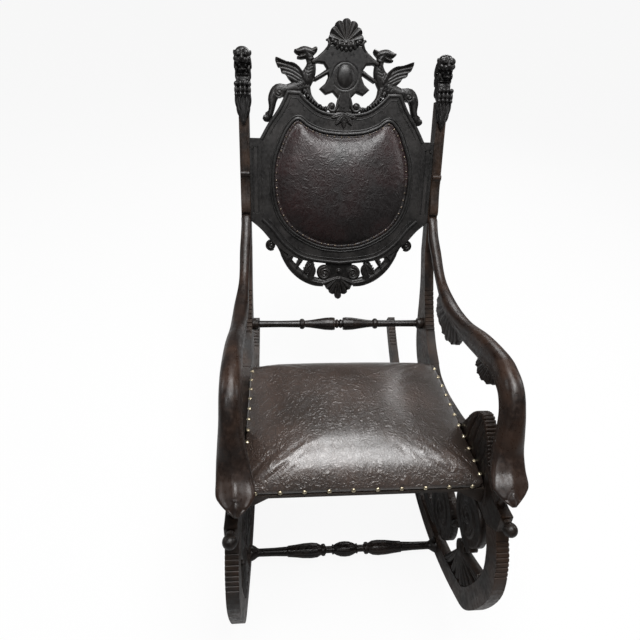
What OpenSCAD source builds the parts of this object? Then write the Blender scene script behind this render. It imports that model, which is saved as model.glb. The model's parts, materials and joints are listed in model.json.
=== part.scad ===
// Carved rocking chair: two scrolled side frames on long runners, a leaning
// back panel under a pierced crest, a nailed leather seat and turned rails.
// X runs across the chair, Y to the back and Z up. The chair faces -Y.

/* [Overall] */
// Clear width between the two side frames
inner_w = 500; // [460:1:560]
// Thickness of the boards that the side frames are sawn from
frame_t = 26; // [24:1:32]
// Depth from the front curl to the back ends of the runners
depth = 1080; // [1040:1:1120]
// Height of the lowest point of the side rail's top edge
rail_h = 418; // [400:1:440]

/* [Runners] */
// Distance from the front curl back to the floor contact
contact_in = 500; // [480:1:520]
// Length of the worn flat that stands on the floor
flat_l = 50; // [30:1:70]
// Radius of the rocker in front of the flat
front_r = 685; // [660:1:710]
// Radius of the rocker behind the flat
rear_r = 1050; // [980:1:1150]
// Angle that the front arc turns through before the curl
front_turn = 35; // [33:1:36]
// Width of the runner board at the front
runner_w = 47; // [42:1:50]
// Width of the runner board at its back end
runner_end_w = 40; // [34:1:46]

/* [Side rails] */
// Place of the joint between rail and stile behind mid-depth
joint_y = 30; // [20:1:40]
// Rise of the rail's front tip above its lowest point
tip_rise = 50; // [44:1:56]
// Height of the carved plume above the rail's lowest point
plume_h = 176; // [160:1:190]

/* [Stiles and back] */
// Lean of the back from upright, in degrees
lean = 22.5; // [20:0.5:25]
// Distance from the rail joint back to the top of the panel's side blocks
back_run = 356; // [340:1:370]
// Height of the panel's side blocks above the rail's lowest point
back_rise = 505; // [480:1:530]
// Length of the stile's straight part below the side blocks' top
straight_l = 300; // [280:1:320]
// Length of the stile above the side blocks' top
stile_top = 104; // [98:1:116]
// Depth of the stile from front to back
stile_w = 40; // [36:1:46]

/* [Back panel] */
// Thickness of the back panel
panel_t = 26; // [22:1:30]
// Set-back of the panel behind the stiles' front faces
panel_in = 3; // [1:0.5:5]
// Height of the side blocks that join the panel to the stiles
block_h = 216; // [200:1:230]
// Gap between each stile and the shield's widest point
shoulder_in = 28; // [24:1:34]
// Height of the two horns above the side blocks
horn_h = 118; // [108:1:128]
// Drop of the shield's rounded foot below the side blocks' top
shield_drop = 338; // [325:1:350]
// Width of the shield's rim beside the back cushion
pad_rim = 39; // [36:1:46]
// Height of the back cushion
pad_h = 335; // [322:1:340]
// Height of the cushion's horns above the side blocks' top
pad_up = 46; // [42:1:50]
// Width of the raised moulding round the cushion
mould_w = 14; // [10:1:17]
// Rise of that moulding in front of the panel
mould_rise = 5; // [3:0.5:8]
// Bulge of the back cushion in front of the panel
pad_crown = 24; // [16:1:32]

/* [Crest] */
// Thickness of the pierced crest carvings
crest_t = 18; // [14:1:22]
// Half the width of the cartouche
cart_half = 86; // [80:1:92]
// Height of the cartouche above the panel's concave top
cart_h = 164; // [154:1:174]
// Half the width of the shell
shell_r = 46; // [40:1:52]
// Height of the shell above the cartouche
shell_h = 57; // [50:1:62]
// Half the width of the oval boss
boss_rx = 27; // [23:1:30]
// Half the height of the oval boss
boss_rz = 33; // [28:1:38]
// Height of a griffin
griffin_h = 172; // [160:1:180]
// Length of the pierced drop under the panel
drop_h = 104; // [96:1:112]
// Set-in of the drop's scrolled ends from the shield's widest point
drop_in = 14; // [10:1:22]

/* [Arms] */
// Width of an arm where it turns down at the front
arm_w = 52; // [46:1:58]
// Thickness of an arm at its crest
arm_t = 56; // [50:1:62]
// Height of the arm's crest above the side rail's lowest point
arm_rise = 332; // [316:1:346]

/* [Seat] */
// Depth of the seat from front to back
seat_l = 396; // [384:1:404]
// Slope of the seat down to the back, in degrees
seat_slope = 7; // [5:0.5:8]
// Height of the seat frame's rails
seat_rail_h = 34; // [28:1:40]
// Thickness of the seat frame's rails
seat_rail_t = 22; // [18:1:28]
// Height of the seat cushion's crown above its nailed edge
seat_crown = 44; // [34:1:54]
// Number of nails along each side of the seat
side_nails = 11; // [7:1:13]
// Number of nails along the front of the seat
front_nails = 10; // [7:1:14]

/* [Turned rails] */
// Radius of the turned rails at their plain ends
rail_r = 10; // [8:0.5:12]
// Depth of their tenons in the side frames
tenon_l = 14; // [10:1:18]

/* [Hidden] */
$fn = 40;

// Overrun of every cut past the face that it opens
over = 2;
// Clearance round dowels and turned tenons in their bores
bore_gap = 0.05;
// Clearance round square tenons and between fitted parts
fit_gap = 0.3;

// Smooth curves: steps in each span of an outline
span_steps = 5;
// Steps along each long arc of a runner
arc_steps = 14;

function cr(a, b, c, d, t) = (2*b + (c - a)*t + (2*a - 5*b + 4*c - d)*t*t
    + (3*b - a - 3*c + d)*t*t*t)/2;
// Smooth line through hand-chosen points, which may carry a width as well
function smooth(p, n = span_steps) = [for (i = [0 : len(p) - 2], j = [0 : n - 1])
    cr(p[max(i - 1, 0)], p[i], p[i + 1], p[min(i + 2, len(p) - 1)], j/n), p[len(p) - 1]];
// Smooth closed line through hand-chosen points
function ring(p, n = span_steps) = [for (i = [0 : len(p) - 1], j = [0 : n - 1])
    let (m = len(p)) cr(p[(i + m - 1)%m], p[i], p[(i + 1)%m], p[(i + 2)%m], j/n)];
function back(p) = [for (i = [len(p) - 1 : -1 : 0]) p[i]];
function inner(p) = [for (i = [1 : len(p) - 2]) p[i]];
function heading(p, i) = let (a = p[max(i - 1, 0)], b = p[min(i + 1, len(p) - 1)],
    d = [b[0] - a[0], b[1] - a[1]]) d/norm(d);
// Line beside a line, at a distance that may change from point to point
function beside(p, w) = [for (i = [0 : len(p) - 1])
    let (d = heading(p, i), k = is_list(w) ? w[i] : w) [p[i][0] + d[1]*k, p[i][1] - d[0]*k]];
// Strip along a line whose points carry its width
function strip(p) = concat(beside(p, [for (q = p) q[2]/2]), back(beside(p, [for (q = p) -q[2]/2])));
// Spiral that winds in from radius r1 to r0, with its width going from w1 to w0
function spiral(c, r1, r0, from, turn, w1, w0, n = 30) = [for (i = [0 : n])
    let (t = i/n, r = r1 + (r0 - r1)*t, a = from + turn*t)
    [c[0] + r*cos(a), c[1] + r*sin(a), w1 + (w0 - w1)*t]];
// Closed line moved outward by d, for a line that runs counter-clockwise
function grown(p, d) = [for (i = [0 : len(p) - 1]) let (m = len(p),
    a = p[(i + m - 1)%m], b = p[(i + 1)%m], v = [b[0] - a[0], b[1] - a[1]], u = v/norm(v))
    [p[i][0] + u[1]*d, p[i][1] - u[0]*d]];
function mirrored(p) = [for (q = p) [-q[0], q[1]]];
function sized(shares, w, h) = [for (s = shares) [s[0]*w, s[1]*h]];

// Side frames: lines in the Y-Z plane
front_y = -depth/2;
rear_y = depth/2;
contact_y = front_y + contact_in;
flat_back = contact_y + flat_l/2;
flat_front = contact_y - flat_l/2;
rear_turn = asin((rear_y - flat_back)/rear_r);
arc_end = [flat_front - front_r*sin(front_turn), front_r*(1 - cos(front_turn))];
curl_top = rail_h + tip_rise;
curl_shares = [[0, 0], [0.56, 0.115], [0.9, 0.36], [1, 0.64], [0.66, 0.86], [0.15, 1]];
rear_arc = [for (i = [0 : arc_steps]) let (a = rear_turn*(1 - i/arc_steps))
    [flat_back + rear_r*sin(a), rear_r*(1 - cos(a))]];
front_arc = [for (i = [0 : arc_steps]) let (a = front_turn*i/arc_steps)
    [flat_front - front_r*sin(a), front_r*(1 - cos(a))]];
curl_line = smooth([for (s = curl_shares) [arc_end[0] - s[0]*(arc_end[0] - front_y),
    arc_end[1] + s[1]*(curl_top - arc_end[1])]]);
runner_out = concat(rear_arc, front_arc, [for (i = [1 : len(curl_line) - 1]) curl_line[i]]);
runner_n = len(runner_out);
runner_widths = [for (i = [0 : runner_n - 1])
    runner_end_w + (runner_w - runner_end_w)*min(1, i/arc_steps/2)];
runner_in = beside(runner_out, runner_widths);
curl_out = runner_out[runner_n - 1];
curl_in = runner_in[runner_n - 1];

rail_l = joint_y - curl_out[0];
function rail_pt(s) = [joint_y - s[0]*rail_l, rail_h + s[1]*plume_h];
rail_top_shares = [[0, 0.068], [0.076, 0], [0.2, 0.034], [0.332, 0.142], [0.448, 0.267], [0.504, 0.4]];
plume_shares = [[0.504, 0.4], [0.53, 0.62], [0.56, 0.82], [0.6, 0.96], [0.645, 1],
    [0.72, 0.87], [0.798, 0.63], [0.87, 0.52], [0.93, 0.5], [0.985, 0.53]];
rail_low_shares = [[0.86, 0.08], [0.72, 0.04], [0.56, -0.01], [0.44, -0.08],
    [0.332, -0.17], [0.2, -0.267], [0.076, -0.318], [0, -0.33]];
rail_top_line = smooth([for (s = rail_top_shares) rail_pt(s)]);
plume_line = smooth([for (s = plume_shares) rail_pt(s)]);
rail_low_line = smooth(concat([curl_in], [for (s = rail_low_shares) rail_pt(s)]));
rail_outline = concat(rail_top_line, [for (i = [1 : len(plume_line) - 1]) plume_line[i]],
    [curl_out], rail_low_line);

// Origin of the back, at the top of the side blocks, and a line along the lean
back_y = joint_y + back_run;
back_z = rail_h + back_rise;
function back_line(s, d) = [back_y + s*sin(lean) + d*cos(lean), back_z + s*cos(lean) - d*sin(lean)];
knee = back_line(-straight_l, 0);
bend_w = knee[0] - joint_y;
bend_h = knee[1] - rail_h;
function bend_pt(s) = [joint_y + s[0]*bend_w, rail_h + s[1]*bend_h];
joint_top = rail_pt(rail_top_shares[0]);
joint_low = rail_pt(rail_low_shares[len(rail_low_shares) - 1]);
bend_front_shares = [[0.2, 0.14], [0.394, 0.272], [0.58, 0.46], [0.77, 0.69]];
bend_back_shares = [[0.95, 0.62], [0.83, 0.36], [0.74, 0.118], [0.63, -0.10], [0.5, -0.25], [0.373, -0.333]];
leg_front_share = 0.13;
stile_front_line = smooth(concat([joint_top], [for (s = bend_front_shares) bend_pt(s)], [knee]));
stile_back_line = smooth(concat([back_line(-straight_l, stile_w)],
    [for (s = bend_back_shares) bend_pt(s)]));
stile_outline = concat(stile_front_line, [back_line(stile_top, 0), back_line(stile_top, stile_w)],
    stile_back_line, [bend_pt([leg_front_share, -0.333]), joint_low]);

// A board cut to an outline in the Y-Z plane, from x to x + t
module board(p, x, t) {
    translate([x, 0, 0]) rotate([90, 0, 90]) linear_extrude(t) polygon(p);
}
// Both sides are alike: the left one is the right one mirrored
module left() {
    mirror([1, 0, 0]) children();
}
// Middle of the boards of a side frame
frame_x = (inner_w + frame_t)/2;
// Depth of the carved ground below the face of a board
relief = 3;
module relief_cuts(p) {
    for (x = [inner_w/2 - over, inner_w/2 + frame_t - relief])
        board(p, x, relief + over);
}
// Cylinder across the chair
module across(y, z, x, l, r) {
    translate([x, y, z]) rotate([0, 90, 0]) cylinder(h = l, r = r);
}
// Row of fine reeds cut across a board's edge, along a line
reed_r = 2.4;
module reeds(p) {
    for (q = p) across(q[0], q[1], inner_w/2 - over, frame_t + 2*over, reed_r, $fn = 16);
}

// Turned rails: where their axes cross the side frames
stretcher_share = 0.63;
stretcher_y = flat_front - (front_r - runner_w/2)*sin(front_turn*stretcher_share);
stretcher_z = front_r - (front_r - runner_w/2)*cos(front_turn*stretcher_share);
spindle_place_shares = [0.55, 0.215];
spindle_y = bend_pt(spindle_place_shares)[0];
spindle_z = bend_pt(spindle_place_shares)[1];
module tenon_bore(y, z) {
    across(y, z, inner_w/2 - over, tenon_l + over, rail_r + bore_gap);
}

// Dowels that hold the boards of a side frame together
dowel_r = 4;
dowel_l = 36;
rail_joint_mid = (joint_top + joint_low)/2;
dowel_step_share = 0.24;
curl_mid = (curl_out + curl_in)/2;
curl_aim = [curl_out[1] - curl_in[1], curl_in[0] - curl_out[0]]/norm(curl_out - curl_in);
// Each dowel: its middle, and the way it points
dowel_places = [
    [rail_joint_mid + (joint_top - joint_low)*dowel_step_share, [1, 0]],
    [rail_joint_mid - (joint_top - joint_low)*dowel_step_share, [1, 0]],
    [curl_mid, curl_aim]];
module dowels(r, l) {
    for (d = dowel_places) let (a = atan2(d[1][1], d[1][0]))
        translate([frame_x, d[0][0], d[0][1]]) rotate([a - 90, 0, 0])
            cylinder(h = l, r = r, center = true);
}

// Reeding on the runner's front, between two shares of the curl, and under its tail
curl_reed_shares = [0.72, 0.95];
curl_reeds = 8;
function on_curl(t) = let (i = t*(len(curl_line) - 1), k = floor(i), f = i - k)
    curl_line[k]*(1 - f) + curl_line[min(k + 1, len(curl_line) - 1)]*f;
tail_reeds = 9;
tail_pitch_share = 0.022;
module right_runner() {
    color("saddlebrown") difference() {
        board(concat(runner_out, back(runner_in)), inner_w/2, frame_t);
        tenon_bore(stretcher_y, stretcher_z);
        dowels(dowel_r + bore_gap, dowel_l + 2*bore_gap);
        reeds([for (i = [0 : curl_reeds - 1])
            on_curl(curl_reed_shares[0] + (curl_reed_shares[1] - curl_reed_shares[0])*i/curl_reeds)]);
        reeds([for (i = [1 : tail_reeds]) let (a = rear_turn*(1 - i*tail_pitch_share))
            [flat_back + (rear_r - runner_end_w)*sin(a), rear_r - (rear_r - runner_end_w)*cos(a)]]);
    }
}
module left_runner() {
    left() right_runner();
}

// Flutes on both faces of the plume, each from its root to its tip
flute_share_rows = [
    [[0.62, 0.20], [0.585, 0.50], [0.59, 0.80]],
    [[0.67, 0.20], [0.635, 0.50], [0.635, 0.88]],
    [[0.72, 0.22], [0.69, 0.50], [0.685, 0.80]],
    [[0.78, 0.24], [0.75, 0.42], [0.74, 0.66]],
    [[0.86, 0.28], [0.82, 0.36], [0.79, 0.50]]];
flute_w = 7;
plume_reeds = 10;
plume_reed_shares = [0.25, 0.55];
module right_side_rail() {
    color("sienna") difference() {
        board(rail_outline, inner_w/2, frame_t);
        for (row = flute_share_rows) relief_cuts(strip([for (q = smooth([for (s = row) rail_pt(s)]))
            [q[0], q[1], flute_w]]));
        reeds([for (i = [0 : plume_reeds - 1]) let (t = plume_reed_shares[0]
            + (plume_reed_shares[1] - plume_reed_shares[0])*i/plume_reeds)
            plume_line[floor(t*(len(plume_line) - 1))]]);
        dowels(dowel_r + bore_gap, dowel_l + 2*bore_gap);
        ball_peg(bore_gap);
        post_peg(bore_gap);
        seat_screws(bore_gap);
    }
}
module left_side_rail() {
    left() right_side_rail();
}

stile_reeds = 10;
stile_reed_from = 9;
module right_stile() {
    color("sienna") difference() {
        board(stile_outline, inner_w/2, frame_t);
        tenon_bore(spindle_y, spindle_z);
        dowels(dowel_r + bore_gap, dowel_l + 2*bore_gap);
        reeds([for (i = [0 : stile_reeds - 1]) let (k = i + stile_reed_from)
            (stile_front_line[k] + stile_front_line[k + 1])/2]);
        panel_tenon(fit_gap);
        head_peg(bore_gap);
        arm_screw(bore_gap);
        seat_screws(bore_gap);
    }
}
module left_stile() {
    left() right_stile();
}

// Fretwork between the rail and the runner. Places are shares of the rail's
// length and of the height under the stile.
leg_top = bend_pt([0, -0.333])[1];
function fret_pt(s) = [joint_y - s[0]*rail_l, s[1]*leg_top];
module frame_cuts() {
    board(rail_outline, inner_w/2 - over, frame_t + 2*over);
    board(stile_outline, inner_w/2 - over, frame_t + 2*over);
}
// The space inside the curl of the runner, up to the rail
module inside_curl() {
    board(concat(runner_in, [[curl_in[0], curl_top + runner_w], [rear_y, curl_top + runner_w]]),
        inner_w/2 - over, frame_t + 2*over);
}

// Front volute: a round scroll hung from the rail, with a leaf lobe
front_eye = fret_pt([0.804, 1.015]);
front_scroll_r = 70;
lobe_shares = [[0.80, 1.02], [0.87, 0.93], [0.925, 0.87], [0.90, 0.81], [0.83, 0.80], [0.76, 0.86]];
stem_shares = [[0.62, 1.30], [0.66, 1.18], [0.72, 1.06]];
stem_w = 50;
groove_w = 6;
// Grooves round the volutes: radii as shares, where they start and how far they turn
groove_shares = [0.82, 0.2];
groove_turn = 540;
front_groove_from = 100;
rear_groove_from = -60;
module volute(c, r) {
    translate([inner_w/2, c[0], c[1]]) rotate([0, 90, 0]) cylinder(h = frame_t, r = r);
}
module right_front_scroll() {
    color("sienna") difference() {
        intersection() {
            inside_curl();
            union() {
                volute(front_eye, front_scroll_r);
                board(ring([for (s = lobe_shares) fret_pt(s)]), inner_w/2, frame_t);
                board(strip([for (s = stem_shares) concat(fret_pt(s), stem_w)]), inner_w/2, frame_t);
            }
        }
        frame_cuts();
        relief_cuts(strip(spiral(front_eye, front_scroll_r*groove_shares[0],
            front_scroll_r*groove_shares[1], front_groove_from, -groove_turn, groove_w, groove_w/2)));
    }
}
module left_front_scroll() {
    left() right_front_scroll();
}

// Rear volute: a long C-scroll from under the stile, rolled up on the runner
rear_eye = fret_pt([0.60, 0.55]);
rear_scroll_r = 78;
rear_stem_shares = [[-0.05, 1.04], [0.02, 0.76], [0.13, 0.49], [0.28, 0.31], [0.44, 0.25], [0.58, 0.35]];
rear_stem_width_shares = [0.88, 0.84, 0.76, 0.8, 1, 1];
function rear_stem(gap) = strip(smooth([for (i = [0 : 5])
    concat(fret_pt(rear_stem_shares[i]), rear_stem_width_shares[i]*stem_w + 2*gap)]));
module rear_scroll_body() {
    volute(rear_eye, rear_scroll_r);
    board(rear_stem(0), inner_w/2, frame_t);
}
module right_rear_scroll() {
    color("sienna") difference() {
        intersection() {
            inside_curl();
            rear_scroll_body();
        }
        frame_cuts();
        volute_cut(front_eye, front_scroll_r);
        relief_cuts(strip(spiral(rear_eye, rear_scroll_r*groove_shares[0],
            rear_scroll_r*groove_shares[1], rear_groove_from, groove_turn, groove_w, groove_w/2)));
    }
}
module volute_cut(c, r) {
    translate([inner_w/2 - over, c[0], c[1]]) rotate([0, 90, 0])
        cylinder(h = frame_t + 2*over, r = r + fit_gap);
}
module left_rear_scroll() {
    left() right_rear_scroll();
}

// Palmette: petals that fan out from a root to the inside of the curl
fan_root = fret_pt([0.86, 0.70]);
fan_petals = 8;
fan_from = 282;
fan_step = -19;
fan_l = 138;
fan_hub_r = 24;
petal_w = 27;
petal_root_w = 10;
module petal(a, w0, w1, x, t) {
    board(strip([[fan_root[0], fan_root[1], w0],
        [fan_root[0] + fan_l*cos(a), fan_root[1] + fan_l*sin(a), w1]]), x, t);
}
module right_fan() {
    color("sienna") difference() {
        intersection() {
            inside_curl();
            union() {
                volute(fan_root, fan_hub_r);
                for (i = [0 : fan_petals - 1])
                    petal(fan_from + fan_step*i, petal_root_w, petal_w, inner_w/2, frame_t);
            }
        }
        frame_cuts();
        volute_cut(front_eye, front_scroll_r);
        volute_cut(rear_eye, rear_scroll_r);
        board(ring([for (s = lobe_shares) fret_pt(s)]), inner_w/2 - over, frame_t + 2*over);
        for (i = [0 : fan_petals - 1], x = [inner_w/2 - over, inner_w/2 + frame_t - relief])
            petal(fan_from + fan_step*i, petal_root_w/5, petal_w/3, x, relief + over);
    }
}
module left_fan() {
    left() right_fan();
}

// Small turned bud that fills the corner between the two volutes
bud_r = 11;
bud_l = 56;
bud_place = fret_pt([0.735, 0.70]);
bud_tilt = 30;
bud_shares = [[0, -0.5], [0.6, -0.42], [0.5, -0.3], [1, -0.1], [0.9, 0.15], [0.5, 0.32], [0.7, 0.4], [0, 0.5]];
module right_bud() {
    color("sienna") difference() {
        translate([frame_x, bud_place[0], bud_place[1]]) rotate([bud_tilt, 0, 0])
            rotate_extrude() polygon(sized(bud_shares, bud_r, bud_l));
        volute_cut(front_eye, front_scroll_r);
        volute_cut(rear_eye, rear_scroll_r);
    }
}
module left_bud() {
    left() right_bud();
}

// Rear leg from the stile's heel down to the runner
leg_shares = [[-0.13, 1.03], [-0.075, 0.82], [-0.02, 0.62], [-0.02, 0.40], [-0.07, 0.24], [-0.12, 0.06]];
leg_w = 60;
leg_width_shares = [1, 0.833, 0.733, 0.7, 0.867, 1.233];
module right_rear_leg() {
    color("sienna") difference() {
        intersection() {
            inside_curl();
            board(strip(smooth([for (i = [0 : 5]) concat(fret_pt(leg_shares[i]), leg_width_shares[i]*leg_w)])),
                inner_w/2, frame_t);
        }
        frame_cuts();
        board(rear_stem(fit_gap), inner_w/2 - over, frame_t + 2*over);
        tenon_bore(rear_rail_y, rear_rail_z);
    }
}
module left_rear_leg() {
    left() right_rear_leg();
}
rear_rail_y = fret_pt([-0.045, 0.30])[0];
rear_rail_z = fret_pt([-0.045, 0.30])[1];

// Ball at the front of the side rail
ball_r = 14;
ball_neck_r = 8;
ball_neck_l = 5;
ball_peg_l = 16;
ball_share = 0.8;
ball_seat = curl_out + (rail_pt(plume_shares[len(plume_shares) - 1]) - curl_out)*ball_share;
module ball_peg(gap) {
    translate([frame_x, ball_seat[0] - over, ball_seat[1]]) rotate([-90, 0, 0])
        cylinder(h = ball_peg_l + over + gap, r = dowel_r + gap);
}
module right_ball() {
    color("sienna") translate([frame_x, ball_seat[0] - ball_neck_l, ball_seat[1]]) rotate([90, 0, 0]) {
        translate([0, 0, ball_r]) sphere(r = ball_r);
        translate([0, 0, -ball_neck_l - ball_peg_l]) cylinder(h = ball_neck_l + ball_peg_l, r = dowel_r);
        translate([0, 0, -ball_neck_l*0.6]) cylinder(h = ball_neck_l, r = ball_neck_r);
    }
}
module left_ball() {
    left() right_ball();
}

// Arms: a sweep of rounded sections. Each station has its place in the Y-Z
// plane, as shares, then shares of the arm's width and thickness, and how far
// out it bows, as a share of the width.
arm_sides = 14;
arm_steps = 3;
arm_stile_shares = [[0.665, 0.02, 0.3, 0.14, 0], [0.69, 0.07, 0.5, 0.3, 0], [0.75, 0.2, 0.5, 0.4, 0],
    [0.853, 0.42, 0.54, 0.5, 0.01]];
arm_shares = [[-0.39, 0.769, 0.53, 0.48, 0.03], [-0.22, 0.658, 0.53, 0.48, 0.05], [-0.03, 0.62, 0.7, 0.62, 0.07],
    [0.19, 0.681, 0.72, 0.84, 0.08], [0.4, 0.803, 0.75, 1, 0.05], [0.57, 0.9, 0.77, 1, -0.02],
    [0.646, 0.913, 0.8, 1, -0.05], [0.71, 0.89, 0.82, 1, -0.07], [0.764, 0.81, 0.84, 0.98, -0.07],
    [0.805, 0.71, 0.94, 0.9, -0.08], [0.85, 0.615, 1.1, 0.76, -0.12], [0.91, 0.555, 1.24, 0.6, -0.17],
    [0.96, 0.53, 1.28, 0.4, -0.21], [1.0, 0.515, 0.9, 0.2, -0.22], [1.015, 0.51, 0.4, 0.08, -0.22]];
function arm_pt(s) = [joint_y - s[0]*rail_l, rail_h + s[1]*arm_rise];
arm_line = smooth(concat(
    [for (s = arm_stile_shares) let (q = back_line(-s[0]*straight_l, -s[1]*arm_t))
        [q[0], q[1], s[2]*arm_w/2, s[3]*arm_t/2, frame_x + s[4]*arm_w]],
    [for (s = arm_shares) let (q = arm_pt(s))
        [q[0], q[1], s[2]*arm_w/2, s[3]*arm_t/2, frame_x + s[4]*arm_w]]), arm_steps);
// Rounded section: a superellipse, flatter below than above
function arm_ring(q, d) = [for (j = [0 : arm_sides - 1]) let (a = 360*j/arm_sides,
    c = cos(a), s = sin(a), u = sign(c)*pow(abs(c), 0.8)*q[2], v = sign(s)*pow(abs(s), 0.85)*q[3])
    [q[4] + u, q[0] - d[1]*v, q[1] + d[0]*v]];
// Closed skin over a row of rings that all have m points
function skin_faces(n, m) = concat([[for (j = [0 : m - 1]) j]],
    [for (i = [0 : n - 2], j = [0 : m - 1]) let (k = (j + 1)%m) [i*m + j, (i + 1)*m + j, (i + 1)*m + k]],
    [for (i = [0 : n - 2], j = [0 : m - 1]) let (k = (j + 1)%m) [i*m + j, (i + 1)*m + k, i*m + k]],
    [[for (j = [m - 1 : -1 : 0]) (n - 1)*m + j]]);
module arm_body() {
    n = len(arm_line);
    polyhedron([for (i = [0 : n - 1]) each arm_ring(arm_line[i], -heading(arm_line, i))],
        skin_faces(n, arm_sides));
}
module right_arm() {
    color("saddlebrown") difference() {
        arm_body();
        board(stile_outline, inner_w/2 - arm_w, frame_t + 2*arm_w);
        post_peg(bore_gap);
        arm_leaf_boards(arm_leaf_t + 2*bore_gap);
        arm_screw(bore_gap);
    }
}
module left_arm() {
    left() right_arm();
}

// Turned post between the side rail's front and the arm
post_r = 8;
post_place = rail_pt([0.925, 0.5]);
post_sink = 16;
post_rise = 70;
module post_peg(gap) {
    translate([frame_x, post_place[0], post_place[1] - post_sink - gap])
        cylinder(h = post_sink + post_rise + 2*gap, r = post_r + gap);
}
module right_arm_post() {
    color("sienna") post_peg(0);
}
module left_arm_post() {
    left() right_arm_post();
}

// Leaves under the arm: two scalloped blades let into its underside
arm_leaf_t = 14;
arm_leaf_bow_share = 0.06;
arm_leaf_rows = [
    [[-0.2, 0.66], [-0.175, 0.56], [-0.195, 0.5], [-0.16, 0.47], [-0.165, 0.415], [-0.12, 0.415], [-0.09, 0.385],
        [-0.05, 0.4], [-0.01, 0.375], [0.03, 0.4], [0.065, 0.39], [0.09, 0.43], [0.13, 0.44], [0.145, 0.485],
        [0.175, 0.5], [0.185, 0.56], [0.25, 0.66], [0.02, 0.64]],
    [[0.39, 0.8], [0.405, 0.7], [0.41, 0.65], [0.432, 0.655], [0.445, 0.625], [0.47, 0.645], [0.492, 0.635],
        [0.515, 0.67], [0.54, 0.675], [0.56, 0.715], [0.58, 0.735], [0.6, 0.79], [0.66, 0.84], [0.52, 0.86]]];
module arm_leaf_boards(t) {
    for (row = arm_leaf_rows) board([for (s = row) arm_pt(s)], frame_x + arm_leaf_bow_share*arm_w - t/2, t);
}
module right_arm_leaf() {
    color("sienna") arm_leaf_boards(arm_leaf_t);
}
module left_arm_leaf() {
    left() right_arm_leaf();
}

// Bracket carved on the stile's front above the arm: a small roll, a hollow
// and a swelling tongue. Shares of the straight part, and of its own thickness.
stile_leaf_t = 11;
stile_leaf_rows = [[0.28, 0.1], [0.285, 0.75], [0.3, 1], [0.32, 0.9], [0.34, 0.45], [0.4, 0.35], [0.48, 0.5],
    [0.56, 0.85], [0.62, 0.95], [0.645, 0.7], [0.65, 0.2]];
stile_leaf_w_share = 0.9;
module right_stile_leaf() {
    color("sienna") difference() {
        board(concat([for (s = smooth(stile_leaf_rows, 3)) back_line(-s[0]*straight_l, -s[1]*stile_leaf_t)],
            [back_line(-stile_leaf_rows[len(stile_leaf_rows) - 1][0]*straight_l, 0),
                back_line(-stile_leaf_rows[0][0]*straight_l, 0)]),
            frame_x - frame_t*stile_leaf_w_share/2, frame_t*stile_leaf_w_share);
        arm_body();
    }
}
module left_stile_leaf() {
    left() right_stile_leaf();
}

// Screw through the stile into the arm
screw_r = 2.5;
screw_head_r = 5;
screw_l = 40;
arm_screw_share = 0.78;
module arm_screw(gap) {
    s = back_line(-arm_screw_share*straight_l, stile_w);
    translate([frame_x, s[0], s[1]]) rotate([90 - lean, 0, 0]) {
        cylinder(h = stile_w + screw_l/2, r = screw_r + gap);
        translate([0, 0, -over]) cylinder(h = 3*over, r = screw_head_r + gap);
    }
}

// Places on the back: X across, Y behind the stiles' front faces, Z along the lean
module on_back() {
    translate([0, back_y, back_z]) rotate([-lean, 0, 0]) children();
}
// Plate cut to an outline on the back, from depth y to y + t
module plate(p, y, t) {
    translate([0, y + t, 0]) rotate([90, 0, 0]) linear_extrude(t) polygon(p);
}

// Half widths of the shield, its cushion and the drop under it
shield_half = inner_w/2 - shoulder_in;
pad_half = shield_half - pad_rim;
drop_half = shield_half - drop_in;

// Shield: right half of its outline, as shares of its sizes, from the middle
// of the concave top round the horn and down to the side block
horn_top_shares = [[0, 0.565], [0.155, 0.575], [0.3, 0.645], [0.44, 0.83], [0.52, 0.99]];
horn_side_shares = [[0.68, 1], [0.775, 0.65], [0.9, 0.32], [1, 0]];
foot_shares = [[1, 0], [0.885, 0.2], [0.72, 0.567], [0.45, 0.883], [0, 1]];
horn_top = smooth(sized(horn_top_shares, shield_half, horn_h));
horn_side = smooth(sized(horn_side_shares, shield_half, horn_h));
foot_line = smooth([for (s = foot_shares) [s[0]*inner_w/2,
    -block_h - s[1]*(shield_drop - block_h)]]);
panel_half = concat(horn_top, horn_side, [[inner_w/2, 0]], foot_line);
panel_outline = concat(panel_half, back(mirrored(inner(panel_half))));
// Cushion: right half of its outline, with its corner at the horn
pad_shares = [[0, -0.107], [0.295, -0.093], [0.514, -0.051], [0.667, 0], [0.79, -0.06],
    [0.874, -0.146], [0.984, -0.319], [1, -0.522], [0.923, -0.713], [0.721, -0.86], [0.35, -0.97], [0, -1]];
pad_half_line = smooth([for (s = pad_shares) [s[0]*pad_half, pad_up + s[1]*pad_h]], 3);
pad_outline = back(concat(pad_half_line, back(mirrored(inner(pad_half_line)))));

// Tenons of the side blocks in the stiles
panel_tenon_l = 12;
panel_tenon_t = 12;
panel_tenon_share = 0.7;
module panel_tenon(gap) {
    on_back() translate([inner_w/2 - over, panel_in + panel_t/2 - panel_tenon_t/2 - gap,
        -block_h/2 - panel_tenon_share*block_h/2 - gap])
        cube([panel_tenon_l + over + gap, panel_tenon_t + 2*gap, panel_tenon_share*block_h + 2*gap]);
}
// Rebate behind the panel for the board that backs the cushion
rebate = 8;
board_t = 7;
groove_depth = 2;
field_w = 5;
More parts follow.
